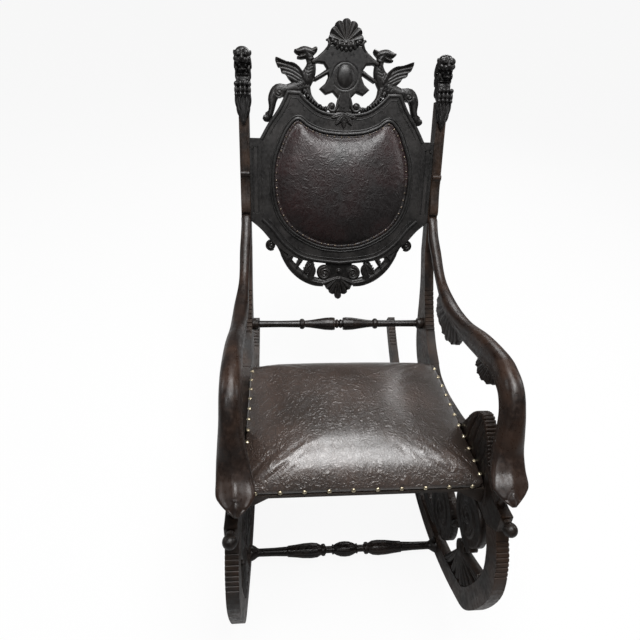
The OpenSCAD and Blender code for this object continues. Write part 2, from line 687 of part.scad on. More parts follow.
// Sunk line that frames a side block
block_field_shares = [[0.9, -0.9], [0.975, -0.9], [0.975, -0.1], [0.9, -0.1]];
block_field = [for (s = block_field_shares) [s[0]*inner_w/2, s[1]*block_h]];
module back_panel() {
    color("sienna") difference() {
        union() {
            on_back() plate(panel_outline, panel_in, panel_t);
            for (s = [0, 1]) mirror([s, 0, 0]) panel_tenon(0);
        }
        on_back() {
            plate(grown(pad_outline, fit_gap), -over, panel_in + panel_t + 2*over);
            plate(grown(pad_outline, rebate), panel_in + panel_t - board_t, board_t + over);
            for (s = [0, 1]) mirror([s, 0, 0]) {
                difference() {
                    plate(block_field, -over, panel_in + over + groove_depth);
                    plate(grown(block_field, -field_w), -2*over, panel_in + 4*over + groove_depth);
                }
            }
            plugs(bore_gap);
            pegs(bore_gap);
        }
    }
}

module cushion_moulding() {
    color("sienna") on_back() difference() {
        plate(grown(pad_outline, mould_w), panel_in - mould_rise, mould_rise);
        plate(grown(pad_outline, fit_gap), panel_in - mould_rise - over, mould_rise + 2*over);
    }
}
module back_board() {
    color("peru") on_back()
        plate(grown(pad_outline, rebate - fit_gap), panel_in + panel_t - board_t, board_t);
}
// Cushion: rings drawn in from the outline, rising to the crown
pad_rise_shares = [[1, 0], [0.92, 0], [0.905, 0.3], [0.85, 0.57], [0.72, 0.8], [0.5, 0.93], [0.24, 1]];
pad_mid = [0, pad_up - pad_h/2];
pad_back_y = panel_in + panel_t - board_t;
pad_edge_rise = 1;
pad_edge_y = panel_in - pad_edge_rise;
function pad_ring(k, y) = [for (q = pad_outline) [pad_mid[0] + (q[0] - pad_mid[0])*k, y,
    pad_mid[1] + (q[1] - pad_mid[1])*k]];
module back_cushion() {
    m = len(pad_outline);
    color("maroon") on_back() polyhedron(concat(pad_ring(1, pad_back_y),
        [for (s = pad_rise_shares) each pad_ring(s[0], pad_edge_y - s[1]*pad_crown)]),
        skin_faces(len(pad_rise_shares) + 1, m));
}

// Domed nails round the back cushion, on its flat edge
nail_r = 3.2;
nail_h = 2.2;
pad_nails = 60;
nail_shares = [[0, 0], [1, 0], [0.8, 0.6], [0.4, 0.93], [0, 1]];
nail_facets = 16;
module nail(r, h) {
    rotate_extrude($fn = nail_facets) polygon(sized(nail_shares, r, h));
}
// Length of a closed line, and the point at a distance along it
function loop_l(p, k = 0) = k == len(p) ? 0 : norm(p[(k + 1)%len(p)] - p[k]) + loop_l(p, k + 1);
function along(p, d, k = 0) = let (a = p[k%len(p)], b = p[(k + 1)%len(p)], l = norm(b - a))
    d <= l ? a + (b - a)*d/l : along(p, d - l, k + 1);
nail_in = 4.2;
pad_nail_line = grown(pad_outline, -nail_in);
module back_nails() {
    color("dimgray") on_back() for (i = [0 : pad_nails - 1])
        let (q = along(pad_nail_line, (i + 0.5)*loop_l(pad_nail_line)/pad_nails))
        translate([q[0], pad_edge_y, q[1]]) rotate([90, 0, 0]) nail(nail_r, nail_h);
}

// Round wooden plugs over the screws of the panel
plug_r = 3.2;
plug_l = 9;
plug_rise = 1;
plug_shares = [[0.977, -0.486], [0.887, -0.99], [1.095, -0.111], [0.653, 0.343], [0.473, 0.343], [0.509, -1.352]];
plug_mid_share = -1.477;
module plug_at(x, z, gap) {
    translate([x, panel_in - plug_rise + plug_l, z]) rotate([90, 0, 0])
        cylinder(h = plug_l + (gap > 0 ? over : 0), r = plug_r + gap);
}
module plugs(gap) {
    for (s = [-1, 1], q = plug_shares) plug_at(s*q[0]*shield_half, q[1]*block_h, gap);
    plug_at(0, plug_mid_share*block_h, gap);
}
module panel_plugs() {
    color("saddlebrown") on_back() plugs(0);
}

// Pegs that fix the carvings to the edges of the panel
peg_r = 3;
peg_l = 24;
crest_y = panel_in + (panel_t - crest_t)/2;
peg_y = panel_in + panel_t/2;
// Height of the cartouche's foot, as a share of the horns' height
crest_foot_share = 0.565;
cart_base = horn_h*crest_foot_share;
horn_peg_share = 0.6;
module pegs(gap) {
    for (q = [[0, cart_base], [0, -shield_drop]])
        translate([q[0], peg_y, q[1]]) cylinder(h = peg_l + 2*gap, r = peg_r + gap, center = true);
    for (s = [-1, 1]) translate([s*shield_half*horn_peg_share, peg_y, horn_h])
        cylinder(h = peg_l + 2*gap, r = peg_r + gap, center = true);
}

// Leaf spray carved on the panel under the crest
spray_t = 4;
spray_l = 36;
spray_w = 15;
spray_turns = [-72, -38, 0, 38, 72];
leaf_shares = [[0, 0.12], [0.3, 0.42], [0.6, 0.5], [0.85, 0.36], [1, 0],
    [0.85, -0.36], [0.6, -0.5], [0.3, -0.42], [0, -0.12]];
function leaf(c, a, l, w, shape = leaf_shares) = [for (s = shape)
    [c[0] + s[0]*l*cos(a) - s[1]*w*sin(a), c[1] + s[0]*l*sin(a) + s[1]*w*cos(a)]];
module leaf_spray() {
    color("sienna") on_back() difference() {
        for (t = spray_turns) plate(ring(leaf([0, cart_base - fit_gap], t - 90, spray_l, spray_w), 2),
            panel_in - spray_t, spray_t);
        plate(grown(pad_outline, mould_w + fit_gap), panel_in - mould_rise - over, mould_rise + 2*over);
    }
}

// Cartouche: right half of its outline, from the neck up to the shell
cart_shares = [[0, -0.03], [0.21, 0.02], [0.22, 0.13], [0.19, 0.22], [0.36, 0.31], [0.58, 0.27],
    [0.77, 0.355], [0.6, 0.43], [0.51, 0.53], [0.535, 0.63], [0.65, 0.715], [0.84, 0.725], [1, 0.69],
    [1.05, 0.75], [0.86, 0.805], [0.66, 0.895], [0.52, 0.985], [0, 1]];
function cart_pt(s) = [s[0]*cart_half, cart_base + s[1]*cart_h];
cart_half_line = [for (s = cart_shares) cart_pt(s)];
cart_outline = concat(cart_half_line, back(mirrored(inner(cart_half_line))));
strut_shares = [[0.5, 0.61], [0.93, 0.48]];
strut_w = 9;
hook_share = [0.385, 0.105];
hook_r = 9.5;
hook_arm_shares = [[0.16, 0.05], [0.28, 0.02], [0.385, 0.045]];
module disc(c, r, y, t) {
    translate([c[0], y + t, c[1]]) rotate([90, 0, 0]) cylinder(h = t, r = r);
}
module panel_cut() {
    plate(panel_outline, -over, panel_in + panel_t + 2*over);
}
module cartouche() {
    color("sienna") on_back() difference() {
        union() {
            plate(cart_outline, crest_y, crest_t);
            for (s = [0, 1]) mirror([s, 0, 0]) {
                plate(strip([for (q = strut_shares) concat(cart_pt(q), strut_w)]), crest_y, crest_t);
                plate(strip([for (q = hook_arm_shares) concat(cart_pt(q), hook_r)]), crest_y, crest_t);
                disc(cart_pt(hook_share), hook_r, crest_y - relief, crest_t + relief);
            }
        }
        panel_cut();
        pegs(bore_gap);
        disc([0, cart_base + cart_h*boss_share], peg_r + bore_gap, crest_y - over, boss_peg + over);
    }
}

// Oval boss pegged to the cartouche
boss_share = 0.54;
boss_rise = 8;
boss_peg = 10;
boss_sides = 28;
boss_rise_shares = [[1, 0], [0.97, 0.3], [0.82, 0.66], [0.55, 0.9], [0.25, 1]];
module oval_boss() {
    color("sienna") on_back() {
        polyhedron([for (s = boss_rise_shares, j = [0 : boss_sides - 1]) let (a = 360*j/boss_sides)
            [boss_rx*s[0]*cos(a), crest_y - s[1]*boss_rise, cart_base + cart_h*boss_share - boss_rz*s[0]*sin(a)]],
            [for (f = skin_faces(len(boss_rise_shares), boss_sides)) back(f)]);
        disc([0, cart_base + cart_h*boss_share], peg_r, crest_y - fit_gap, boss_peg);
    }
}

// Shell: nine lobes that fan out from its foot, each with a raised rib, over a
// row of beads
shell_ribs = 9;
shell_step = 25.5;
shell_z = cart_base + cart_h;
shell_foot = 3;
lobe_w = 21;
rib_w = 9;
rib_l_share = 0.9;
rib_rise = 4;
// A lobe is widest near its rounded end
shell_lobe_shares = [[0, 0.1], [0.35, 0.26], [0.65, 0.42], [0.85, 0.5], [0.96, 0.38], [1, 0],
    [0.96, -0.38], [0.85, -0.5], [0.65, -0.42], [0.35, -0.26], [0, -0.1]];
bead_r = 6;
beads = 5;
bead_span_share = 1.5;
bead_arc_shares = [0.2, 3];
module shell_fan(k, w, y, t) {
    for (i = [0 : shell_ribs - 1]) let (a = 90 + (i - (shell_ribs - 1)/2)*shell_step,
        l = k/norm([cos(a)/shell_r, sin(a)/(shell_h - shell_foot)]))
        plate(ring(leaf([0, shell_z + shell_foot], a, l, w, shell_lobe_shares), 2), y, t);
}
module shell_crest() {
    color("sienna") on_back() difference() {
        union() {
            shell_fan(1, lobe_w, crest_y, crest_t);
            shell_fan(rib_l_share, rib_w, crest_y - rib_rise, rib_rise);
            for (i = [0 : beads - 1]) let (t = i/(beads - 1) - 0.5)
                disc([t*shell_r*bead_span_share, shell_z + bead_r*(bead_arc_shares[0] + bead_arc_shares[1]*t*t)],
                    bead_r, crest_y - rib_rise, crest_t + rib_rise);
        }
        plate(cart_outline, crest_y - crest_t, 3*crest_t);
    }
}

// Griffin: its parts as strips, each point a place and a width in shares
griffin_shares = [0.315, 0.653];
griffin_x = shield_half*griffin_shares[0];
griffin_w = shield_half*griffin_shares[1];
griffin_z_share = 0.407;
griffin_z = horn_h*griffin_z_share;
function grif_pt(s) = [griffin_x + s[0]*griffin_w, griffin_z + s[1]*griffin_h];
function grif_strip(rows) = strip(smooth([for (s = rows) concat(grif_pt(s), s[2]*griffin_w)], 4));
grif_body_shares = [[0.2, 0.93, 0.13], [0.13, 0.8, 0.15], [0.17, 0.64, 0.24], [0.33, 0.46, 0.28],
    [0.55, 0.40, 0.22], [0.72, 0.41, 0.2], [0.81, 0.30, 0.17], [0.83, 0.16, 0.11], [0.87, 0.05, 0.1]];
grif_beak_shares = [[0.08, 0.93, 0.11], [0.24, 0.95, 0.15], [0.36, 0.94, 0.1], [0.43, 0.955, 0.03]];
grif_jaw_shares = [[0.2, 0.9, 0.1], [0.3, 0.87, 0.07], [0.38, 0.86, 0.03]];
grif_ear_shares = [[0.12, 0.93, 0.1], [0.05, 0.98, 0.08], [0.02, 0.99, 0.04]];
grif_leg_shares = [[0.22, 0.5, 0.16], [0.16, 0.34, 0.11], [0.04, 0.23, 0.09], [-0.08, 0.16, 0.08], [-0.17, 0.15, 0.07]];
grif_wing_shares = [[0.22, 0.55], [0.3, 0.7], [0.42, 0.78], [0.56, 0.8], [0.76, 0.85], [0.72, 0.73],
    [0.68, 0.72], [0.65, 0.65], [0.58, 0.63], [0.52, 0.56], [0.4, 0.5]];
grif_foot_shares = [[0.84, 0.07, 0.16], [0.93, 0.02, 0.15], [0.99, 0.03, 0.06]];
grif_curl_share = [0.70, 0.37];
grif_haunch_r = 17;
grif_curl_r = 12;
module griffin_solid() {
    plate(grif_strip(grif_body_shares), crest_y, crest_t);
    for (rows = [grif_beak_shares, grif_jaw_shares, grif_ear_shares, grif_leg_shares, grif_foot_shares])
        plate(grif_strip(rows), crest_y + relief, crest_t - 2*relief);
    plate(ring([for (s = grif_wing_shares) grif_pt(s)], 3), crest_y - relief, relief + crest_t/2);
    disc(grif_pt(grif_curl_share), grif_curl_r, crest_y - relief, crest_t);
}
module right_griffin() {
    color("sienna") on_back() difference() {
        griffin_solid();
        panel_cut();
        pegs(bore_gap);
        plate(cart_outline, crest_y - crest_t, 3*crest_t);
        plate(strip([for (q = strut_shares) concat(cart_pt(q), strut_w)]), crest_y - crest_t, 3*crest_t);
        disc(cart_pt(hook_share), hook_r + fit_gap, crest_y - crest_t, 3*crest_t);
    }
}
module left_griffin() {
    left() right_griffin();
}

// Pierced drop under the panel: scrolled stems, leaves, two volutes and a
// shell. Places are shares of half its width and of its length.
function drop_pt(s) = [s[0]*drop_half, -shield_drop + s[1]*drop_h];
stem_row_shares = [[0.923, 0.615, 0.077], [0.856, 0.596, 0.096], [0.798, 0.442, 0.135], [0.76, 0.25, 0.19],
    [0.654, -0.077, 0.235], [0.51, -0.346, 0.24], [0.346, -0.5, 0.235], [0.21, -0.54, 0.21]];
drop_curl_share = [0.942, 0.51];
drop_curl_r = 12;
drop_volute_share = [0.2, -0.25];
drop_volute_r = 22;
drop_volute_grooves = [0.8, 0.2];
drop_groove_from = 90;
drop_groove_turn = 450;
drop_web_shares = [[-0.2, 0.1], [-0.12, -0.45], [0.12, -0.45], [0.2, 0.1]];
// Each leaf: its root, its direction, and shares for its length and width
drop_leaf_rows = [[0.471, -0.27, 118, 0.45, 0.2], [0.4, -0.44, 98, 0.42, 0.25], [0.7, 0.04, 113, 0.3, 0.125]];
drop_shell_share = -0.365;
drop_lobe_step = 22;
drop_lobe_shares = [0.48, 0.48, 0.53, 0.635, 0.53, 0.48, 0.48];
drop_lobe_w = 20;
module drop_volutes(grow) {
    for (s = [0, 1]) mirror([s, 0, 0]) disc(drop_pt(drop_volute_share), drop_volute_r + grow,
        crest_y - relief, crest_t + relief);
}
module drop_shell(y, t) {
    for (i = [0 : len(drop_lobe_shares) - 1]) let (a = (i - (len(drop_lobe_shares) - 1)/2)*drop_lobe_step - 90)
        plate(ring(leaf(drop_pt([0, drop_shell_share]), a, drop_lobe_shares[i]*drop_h, drop_lobe_w,
            shell_lobe_shares), 2), y, t);
}
module bottom_drop() {
    color("sienna") on_back() difference() {
        union() {
            for (s = [0, 1]) mirror([s, 0, 0]) {
                plate(strip(smooth([for (q = stem_row_shares) concat(drop_pt(q), q[2]*drop_h)], 4)),
                    crest_y, crest_t);
                disc(drop_pt(drop_curl_share), drop_curl_r, crest_y - relief, crest_t + relief);
                for (q = drop_leaf_rows) plate(ring(leaf(drop_pt(q), q[2], q[3]*drop_h, q[4]*drop_h), 2),
                    crest_y + relief, crest_t - 2*relief);
            }
            drop_volutes(0);
            plate([for (q = drop_web_shares) drop_pt(q)], crest_y + relief, crest_t - relief);
            drop_shell(crest_y, crest_t);
        }
        panel_cut();
        pegs(bore_gap);
        for (s = [0, 1]) mirror([s, 0, 0])
            plate(strip(spiral(drop_pt(drop_volute_share), drop_volute_r*drop_volute_grooves[0],
                drop_volute_r*drop_volute_grooves[1], drop_groove_from, drop_groove_turn, groove_w/2, groove_w/3)),
                crest_y - 2*relief, 2*relief);
    }
}

// Lion's head on top of each stile, with a peg down into it. Each row is a
// height, half a width, and how far it reaches forward and back, as shares.
head_h = 112;
head_half = 23;
head_rows = [[0, 0.62, -0.01, 0.8], [0.12, 0.8, -0.01, 0.9], [0.22, 0.88, -0.01, 0.96], [0.27, 0.92, 0.28, 0.98],
    [0.36, 0.96, 0.48, 1], [0.46, 0.98, 0.6, 1], [0.56, 1, 0.62, 1], [0.66, 1.02, 0.46, 1],
    [0.78, 1.04, 0.36, 1], [0.88, 1, 0.3, 0.98], [0.96, 0.78, 0.12, 0.8], [1, 0.42, -0.1, 0.55]];
head_front = 46;
head_back = 50;
head_sides = 16;
head_peg_l = 20;
ear_r = 7;
ear_shares = [0.66, 0.1, 0.9];
muzzle_r = 11;
muzzle_shares = [-0.5, 0.56];
mouth_r = 6;
mouth_shares = [-0.78, 0.45];
head_power = 0.8;
module head_skin() {
    polyhedron([for (s = head_rows, j = [0 : head_sides - 1]) let (a = 360*j/head_sides,
        y0 = -s[2]*head_front, y1 = s[3]*head_back, c = cos(a), d = sin(a))
        [frame_x + sign(c)*pow(abs(c), head_power)*s[1]*head_half,
            (y0 + y1)/2 + sign(d)*pow(abs(d), head_power)*(y1 - y0)/2, stile_top + s[0]*head_h]],
        skin_faces(len(head_rows), head_sides));
}
module head_peg(gap) {
    on_back() translate([frame_x, stile_w/2, stile_top - head_peg_l - gap])
        cylinder(h = head_peg_l + over + gap, r = dowel_r + gap);
}
module right_lion_head() {
    color("sienna") {
        on_back() difference() {
            union() {
                head_skin();
                for (s = [-1, 1]) translate([frame_x + s*head_half*ear_shares[0], head_front*ear_shares[1],
                    stile_top + head_h*ear_shares[2]])
                    sphere(r = ear_r);
                translate([frame_x, head_front*muzzle_shares[0], stile_top + head_h*muzzle_shares[1]])
                    sphere(r = muzzle_r);
            }
            translate([frame_x - head_half, head_front*mouth_shares[0], stile_top + head_h*mouth_shares[1]])
                rotate([0, 90, 0]) cylinder(h = 2*head_half, r = mouth_r);
        }
        head_peg(0);
    }
}
module left_lion_head() {
    left() right_lion_head();
}

// Paws over a hanging leaf: the leaf lies on the stile's front under the
// head, and the paws stand on the stile's top in front of it
leaf_drop = 72;
paw_t = 13;
paw_half = 18;
paw_h = 24;
paw_back_share = 0.6;
claw_r = 4.2;
claws = 4;
// Radius and height of a claw, as shares of its full radius and the paw's height
claw_shares = [[0.4, -0.2], [0.9, -0.12], [1, 0.1], [0.86, 0.4], [1, 0.66], [0.75, 0.88], [0.35, 1]];
paw_leaf_shares = [[0, 0], [0.16, 0.2], [0.5, 0.35], [0.7, 0.5], [0.95, 0.7], [1, 0.9], [0.9, 1]];
module claw() {
    n = len(claw_shares) - 1;
    rotate_extrude()
        polygon(concat([[0, claw_shares[0][1]*paw_h]], sized(claw_shares, claw_r, paw_h),
            [[0, claw_shares[n][1]*paw_h]]));
}
module right_paw_leaf() {
    half = [for (s = paw_leaf_shares) [s[0]*paw_half, stile_top + (s[1] - 1)*leaf_drop]];
    paw_d = paw_t*paw_back_share;
    color("sienna") on_back() translate([frame_x, 0, 0]) {
        plate(concat(half, [[-half[len(half) - 1][0], stile_top]], back(mirrored(inner(half)))), -paw_t, paw_t);
        translate([claw_r/2 - paw_half, -paw_d, stile_top - over])
            cube([2*paw_half - claw_r, paw_d, paw_h*claw_shares[4][1] + over]);
        for (i = [0 : claws - 1])
            translate([(i - (claws - 1)/2)*2*(paw_half - claw_r)/(claws - 1), -paw_d, stile_top]) claw();
    }
}
module left_paw_leaf() {
    left() right_paw_leaf();
}

// Turned rails: right half of each outline, as shares of half the clear width
// and of the end radius
spindle_shares = [[0, 0.95], [0.012, 1.25], [0.03, 1.3], [0.042, 1], [0.047, 1], [0.05, 1.8], [0.08, 1.9],
    [0.16, 1.8], [0.25, 1.45], [0.33, 1.15], [0.395, 1], [0.4, 1.1], [0.412, 1.45], [0.43, 1.55], [0.448, 1.45],
    [0.46, 1.05], [0.68, 0.95], [0.92, 1], [0.93, 1.2], [0.935, 1.5], [0.96, 1.7], [0.9985, 1.65], [0.9985, 1]];
stretcher_shares = [[0, 1.9], [0.05, 1.8], [0.09, 1.45], [0.118, 1.1], [0.123, 1.25], [0.135, 1.25], [0.14, 0.9],
    [0.2, 0.88], [0.21, 1.1], [0.215, 1.45], [0.232, 1.55], [0.25, 1.45], [0.256, 1.25], [0.3, 1.75],
    [0.36, 1.9], [0.45, 1.8], [0.53, 1.55], [0.61, 1.4], [0.62, 1.2], [0.75, 1.05], [0.92, 1], [0.94, 1.2],
    [0.955, 1.5], [0.985, 1.9], [0.9985, 1.95], [0.9985, 1]];
plain_shares = [[0, 1.3], [0.5, 1.2], [0.9, 1], [0.985, 1]];
module turned(shares, y, z) {
    half = [for (s = shares) [s[1]*rail_r, s[0]*inner_w/2]];
    end = [[rail_r, inner_w/2 + tenon_l - over/2], [0, inner_w/2 + tenon_l - over/2]];
    line = concat(half, end);
    other = [for (q = back(inner(line))) [q[0], -q[1]]];
    translate([0, y, z]) rotate([0, 90, 0]) rotate_extrude()
        polygon(concat([[0, -inner_w/2 - tenon_l + over/2]], other, line));
}
module back_spindle() {
    color("saddlebrown") turned(spindle_shares, spindle_y, spindle_z);
}
module front_stretcher() {
    color("saddlebrown") turned(stretcher_shares, stretcher_y, stretcher_z);
}
module rear_stretcher() {
    color("saddlebrown") turned(plain_shares, rear_rail_y, rear_rail_z);
}

// Seat: placed from its back edge, with Y running back along its slope
seat_back_in = 25;
seat_up = 22;
seat_board_t = 8;
// Set-back of the front rail behind the seat's front edge
front_rail_in = 46;
module on_seat() {
    translate([0, joint_y - seat_back_in, rail_h + seat_up]) rotate([-seat_slope, 0, 0]) children();
}
module seat_front_rail() {
    color("peru") on_seat() translate([-inner_w/2, -seat_l + front_rail_in, -seat_board_t - seat_rail_h])
        cube([inner_w, seat_rail_t, seat_rail_h]);
}
module seat_rear_rail() {
    color("peru") on_seat() translate([-inner_w/2, -seat_rail_t, -seat_board_t - seat_rail_h])
        cube([inner_w, seat_rail_t, seat_rail_h]);
}
module seat_side_cleats() {
    color("peru") difference() {
        on_seat() for (s = [0, 1]) mirror([s, 0, 0])
            translate([inner_w/2 - seat_rail_t, -seat_l + front_rail_in + seat_rail_t, -seat_board_t - seat_rail_h])
                cube([seat_rail_t, cleat_l, seat_rail_h]);
        for (s = [0, 1]) mirror([s, 0, 0]) seat_screws(bore_gap);
    }
}
module seat_board() {
    color("burlywood") on_seat() translate([-inner_w/2 + fit_gap, -seat_l, -seat_board_t])
        cube([inner_w - 2*fit_gap, seat_l, seat_board_t]);
}
seat_edge_h = 16;
seat_corner_r = 14;
seat_rise_shares = [[1, 0.97, 0], [0.95, 0.955, 0], [0.93, 0.94, 0.2], [0.89, 0.92, 0.42], [0.8, 0.86, 0.68],
    [0.62, 0.7, 0.88], [0.38, 0.45, 0.97], [0.14, 0.2, 1]];
seat_corner_steps = 4;
seat_sides = 4*(seat_corner_steps + 1);
seat_corners = [[1, 1, 0], [-1, 1, 90], [-1, -1, 180], [1, -1, 270]];
function seat_ring(kx, ky, z) = [for (c = seat_corners,
    i = [0 : seat_corner_steps]) let (a = c[2] + 90*i/seat_corner_steps,
    hx = inner_w/2 - fit_gap - seat_corner_r, hy = seat_l/2 - seat_corner_r)
    [kx*(c[0]*hx + seat_corner_r*cos(a)), -seat_l/2 + ky*(c[1]*hy + seat_corner_r*sin(a)), z]];
module seat_cushion() {
    color("maroon") on_seat() polyhedron(concat(seat_ring(1, 1, 0), seat_ring(1, 1, seat_edge_h),
        [for (s = seat_rise_shares) if (s[2] > 0 || s[0] < 1) each
            seat_ring(s[0], s[1], seat_edge_h + s[2]*seat_crown)]),
        skin_faces(len(seat_rise_shares) + 1, seat_sides));
}
seat_nail_r = 5.2;
seat_nail_h = 3;
seat_nail_in = 6;
// Places of the first and last side nails, in steps of the row
side_nail_ends = [0.7, 0.7];
module seat_nails() {
    color("tan") on_seat() {
        for (s = [-1, 1], i = [0 : side_nails - 1])
            translate([s*(inner_w/2 - seat_nail_in), (i + side_nail_ends[0])*seat_l/(side_nails - 1
                + side_nail_ends[0] + side_nail_ends[1]) - seat_l, seat_edge_h]) nail(seat_nail_r, seat_nail_h);
        for (i = [0 : front_nails - 1])
            translate([(i/(front_nails - 1) - 0.5)*(inner_w - 4*seat_corner_r), -seat_l, seat_edge_h/2])
                rotate([90, 0, 0]) nail(seat_nail_r, seat_nail_h);
    }
}
// Screws through the cleats into the side frames
seat_screw_l = 30;
seat_screw_places = [0.15, 0.5, 0.85];
seat_screw_drop_share = 0.75;
cleat_l = seat_l - front_rail_in - 2*seat_rail_t;
module seat_screws(gap) {
    on_seat() for (t = seat_screw_places) translate([inner_w/2 - seat_rail_t, -seat_rail_t - t*cleat_l,
        -seat_board_t - seat_rail_h*seat_screw_drop_share]) rotate([0, 90, 0]) {
            cylinder(h = seat_screw_l + gap, r = screw_r + gap);
            translate([0, 0, gap > 0 ? -over : 0])
                cylinder(h = screw_r + (gap > 0 ? over : 0), r = screw_head_r + gap);
        }
}
bracket_l = 54;
bracket_h = 38;
module corner_brackets() {
    color("peru") on_seat() for (s = [0, 1]) mirror([s, 0, 0])
        translate([0, -seat_l + seat_rail_t, -seat_board_t]) rotate([90, 0, 0])
            linear_extrude(seat_rail_t) polygon([[inner_w/2, 0], [inner_w/2 - bracket_l, 0], [inner_w/2, -bracket_h]]);
}
module frame_dowels() {
    color("burlywood") for (s = [0, 1]) mirror([s, 0, 0]) dowels(dowel_r, dowel_l);
    color("burlywood") on_back() pegs(0);
}
module frame_screws() {
    color("silver") for (s = [0, 1]) mirror([s, 0, 0]) {
        arm_screw(0);
        seat_screws(0);
    }
}

left_runner();
right_runner();
left_side_rail();
right_side_rail();
left_stile();
right_stile();
left_front_scroll();
right_front_scroll();
left_rear_scroll();
right_rear_scroll();
left_fan();
right_fan();
left_bud();
right_bud();
left_rear_leg();
right_rear_leg();
left_arm();
right_arm();
left_arm_leaf();
right_arm_leaf();
left_stile_leaf();
right_stile_leaf();
left_arm_post();
right_arm_post();
left_ball();
right_ball();
left_lion_head();
right_lion_head();
left_paw_leaf();
right_paw_leaf();
back_panel();
cushion_moulding();
back_board();
back_cushion();
back_nails();
panel_plugs();
leaf_spray();
cartouche();
oval_boss();
shell_crest();
left_griffin();
right_griffin();
bottom_drop();
back_spindle();
front_stretcher();
rear_stretcher();
seat_front_rail();
seat_rear_rail();
seat_side_cleats();
seat_board();
seat_cushion();
seat_nails();
corner_brackets();
frame_dowels();
frame_screws();
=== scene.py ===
import json
import math

import bmesh
import bpy
import numpy as np
from mathutils import Matrix, Vector
from mathutils.bvhtree import BVHTree


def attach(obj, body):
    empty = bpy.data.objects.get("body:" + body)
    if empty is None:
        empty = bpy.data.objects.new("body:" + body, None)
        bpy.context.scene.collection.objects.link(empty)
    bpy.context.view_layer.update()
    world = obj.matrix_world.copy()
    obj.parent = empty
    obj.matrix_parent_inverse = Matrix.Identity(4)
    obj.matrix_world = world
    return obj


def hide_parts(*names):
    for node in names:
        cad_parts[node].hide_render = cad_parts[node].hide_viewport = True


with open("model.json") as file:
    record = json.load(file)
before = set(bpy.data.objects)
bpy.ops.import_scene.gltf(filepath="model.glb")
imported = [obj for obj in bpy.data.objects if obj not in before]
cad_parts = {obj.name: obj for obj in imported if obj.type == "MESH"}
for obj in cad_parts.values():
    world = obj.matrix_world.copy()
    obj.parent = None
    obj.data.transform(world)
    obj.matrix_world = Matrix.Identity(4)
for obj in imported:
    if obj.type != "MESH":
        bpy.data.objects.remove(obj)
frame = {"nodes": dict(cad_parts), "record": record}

bl_info = {"name": "Carved rocking chair", "version": (1, 0, 0), "blender": (4, 5, 0),
           "location": "3D View > Sidebar > Chair",
           "description": "Finishes, cushions, carvings and stage of a carved rocking chair",
           "category": "Object"}

MM = 0.001
LEAN = math.radians(22.5)
SLOPE = math.radians(7)
NODES = frame["nodes"]
SLOTS = {row["node"]: row["material_slot"] for row in frame["record"]["subparts"]}


# Places in the chair, in millimetres

BACK_Y, BACK_Z = 386, 923               # Point of the stiles' front faces where heights along the lean start
SEAT_Y, SEAT_Z = 5, 440                 # Back edge of the seat board's top
SIDE_X = 276                            # Outer face of the side frames' boards
RAIL_Y, RAIL_LENGTH, RAIL_Z = 30, 500.2, 418    # Rear end, length and height of the side rails
SIDES = ((1, "right"), (-1, "left"))


def on_back(p):
    """Points (across, depth behind the stiles' faces, height along the lean) to the chair's X, Y, Z."""
    x, d, s = np.asarray(p, float).T
    return np.c_[x, BACK_Y + s*math.sin(LEAN) + d*math.cos(LEAN),
                 BACK_Z + s*math.cos(LEAN) - d*math.sin(LEAN)]


def on_side(p):
    """Points (along Y, depth behind the board's outer face, height) on the right side to X, Y, Z."""
    y, d, z = np.asarray(p, float).T
    return np.c_[SIDE_X - d, y, z]


def placer(u, v, width, height):
    """Function that turns shares (a, b) of a carving's width and height into a place on its ground. A width
    given after them comes last."""
    return lambda a, b, *line: (u + a*width, v + b*height, *line)


# Lines and surfaces

def smooth(points, n=6):
    """Catmull-Rom line through points, n steps a span: the cubic whose slope at a point is half the step
    between its neighbours."""
    p = np.array(points, float)
    q = np.vstack([p[:1], p, p[-1:]])
    t = np.arange(n)[:, None]/n
    spans = [(2*b + (c - a)*t + (2*a - 5*b + 4*c - d)*t**2 + (3*b - a - 3*c + d)*t**3)/2
             for a, b, c, d in zip(q[:-3], q[1:-2], q[2:-1], q[3:])]
    return np.vstack(spans + [p[-1:]])


def spiral(c, r1, r0, start, turn, w1, w0, n=60):
    """Line with widths that winds round c: its radius and width go evenly from r1 and w1 to r0 and w0."""
    t = np.linspace(0, 1, n)
    a, r = np.radians(start + turn*t), r1 + (r0 - r1)*t
    return np.c_[c[0] + r*np.cos(a), c[1] + r*np.sin(a), w1 + (w0 - w1)*t]


def near(p, line):
    """For points p: distance to the edge of a line of (u, v, width) points, as if a disc of that width ran
    along it, and that disc's half width."""
    gap, half = np.full(p.shape[:-1], 1e6), np.ones(p.shape[:-1])
    for a, b in zip(line[:-1], line[1:]):
        step = b[:2] - a[:2]
        t = np.clip((p - a[:2]) @ step/max(step @ step, 1e-9), 0, 1)
        h = (a[2] + (b[2] - a[2])*t)/2
        d = np.linalg.norm(p - a[:2] - t[..., None]*step, axis=-1) - h
        closer = d < gap
        gap, half = np.where(closer, d, gap), np.where(closer, h, half)
    return gap, half


def blur(a, n):
    """Each value averaged with its four neighbours, n times."""
    for _ in range(n):
        b = np.pad(a, 1, mode="edge")
        a = (2*a + b[:-2, 1:-1] + b[2:, 1:-1] + b[1:-1, :-2] + b[1:-1, 2:])/6
    return a


def circle(n):
    """n even angles round a circle, in radians."""
    return np.linspace(0, 2*np.pi, n, endpoint=False)


def heading(a):
    """Unit vector at an angle in radians."""
    return np.array([math.cos(a), math.sin(a)])


def headings(line):
    """Unit vectors along a (u, v) line at its points."""
    way = np.gradient(line, axis=0)
    return way/np.linalg.norm(way, axis=1)[:, None]


def ray(root, reach, steps):
    """Straight line of (u, v, width) points from root: each step gives a share of the reach and a width."""
    return np.array([np.r_[root + reach*t, w] for t, w in steps])


def points_of(me):
    """A mesh's points, in metres."""
    return np.array([v.co for v in me.vertices], float)


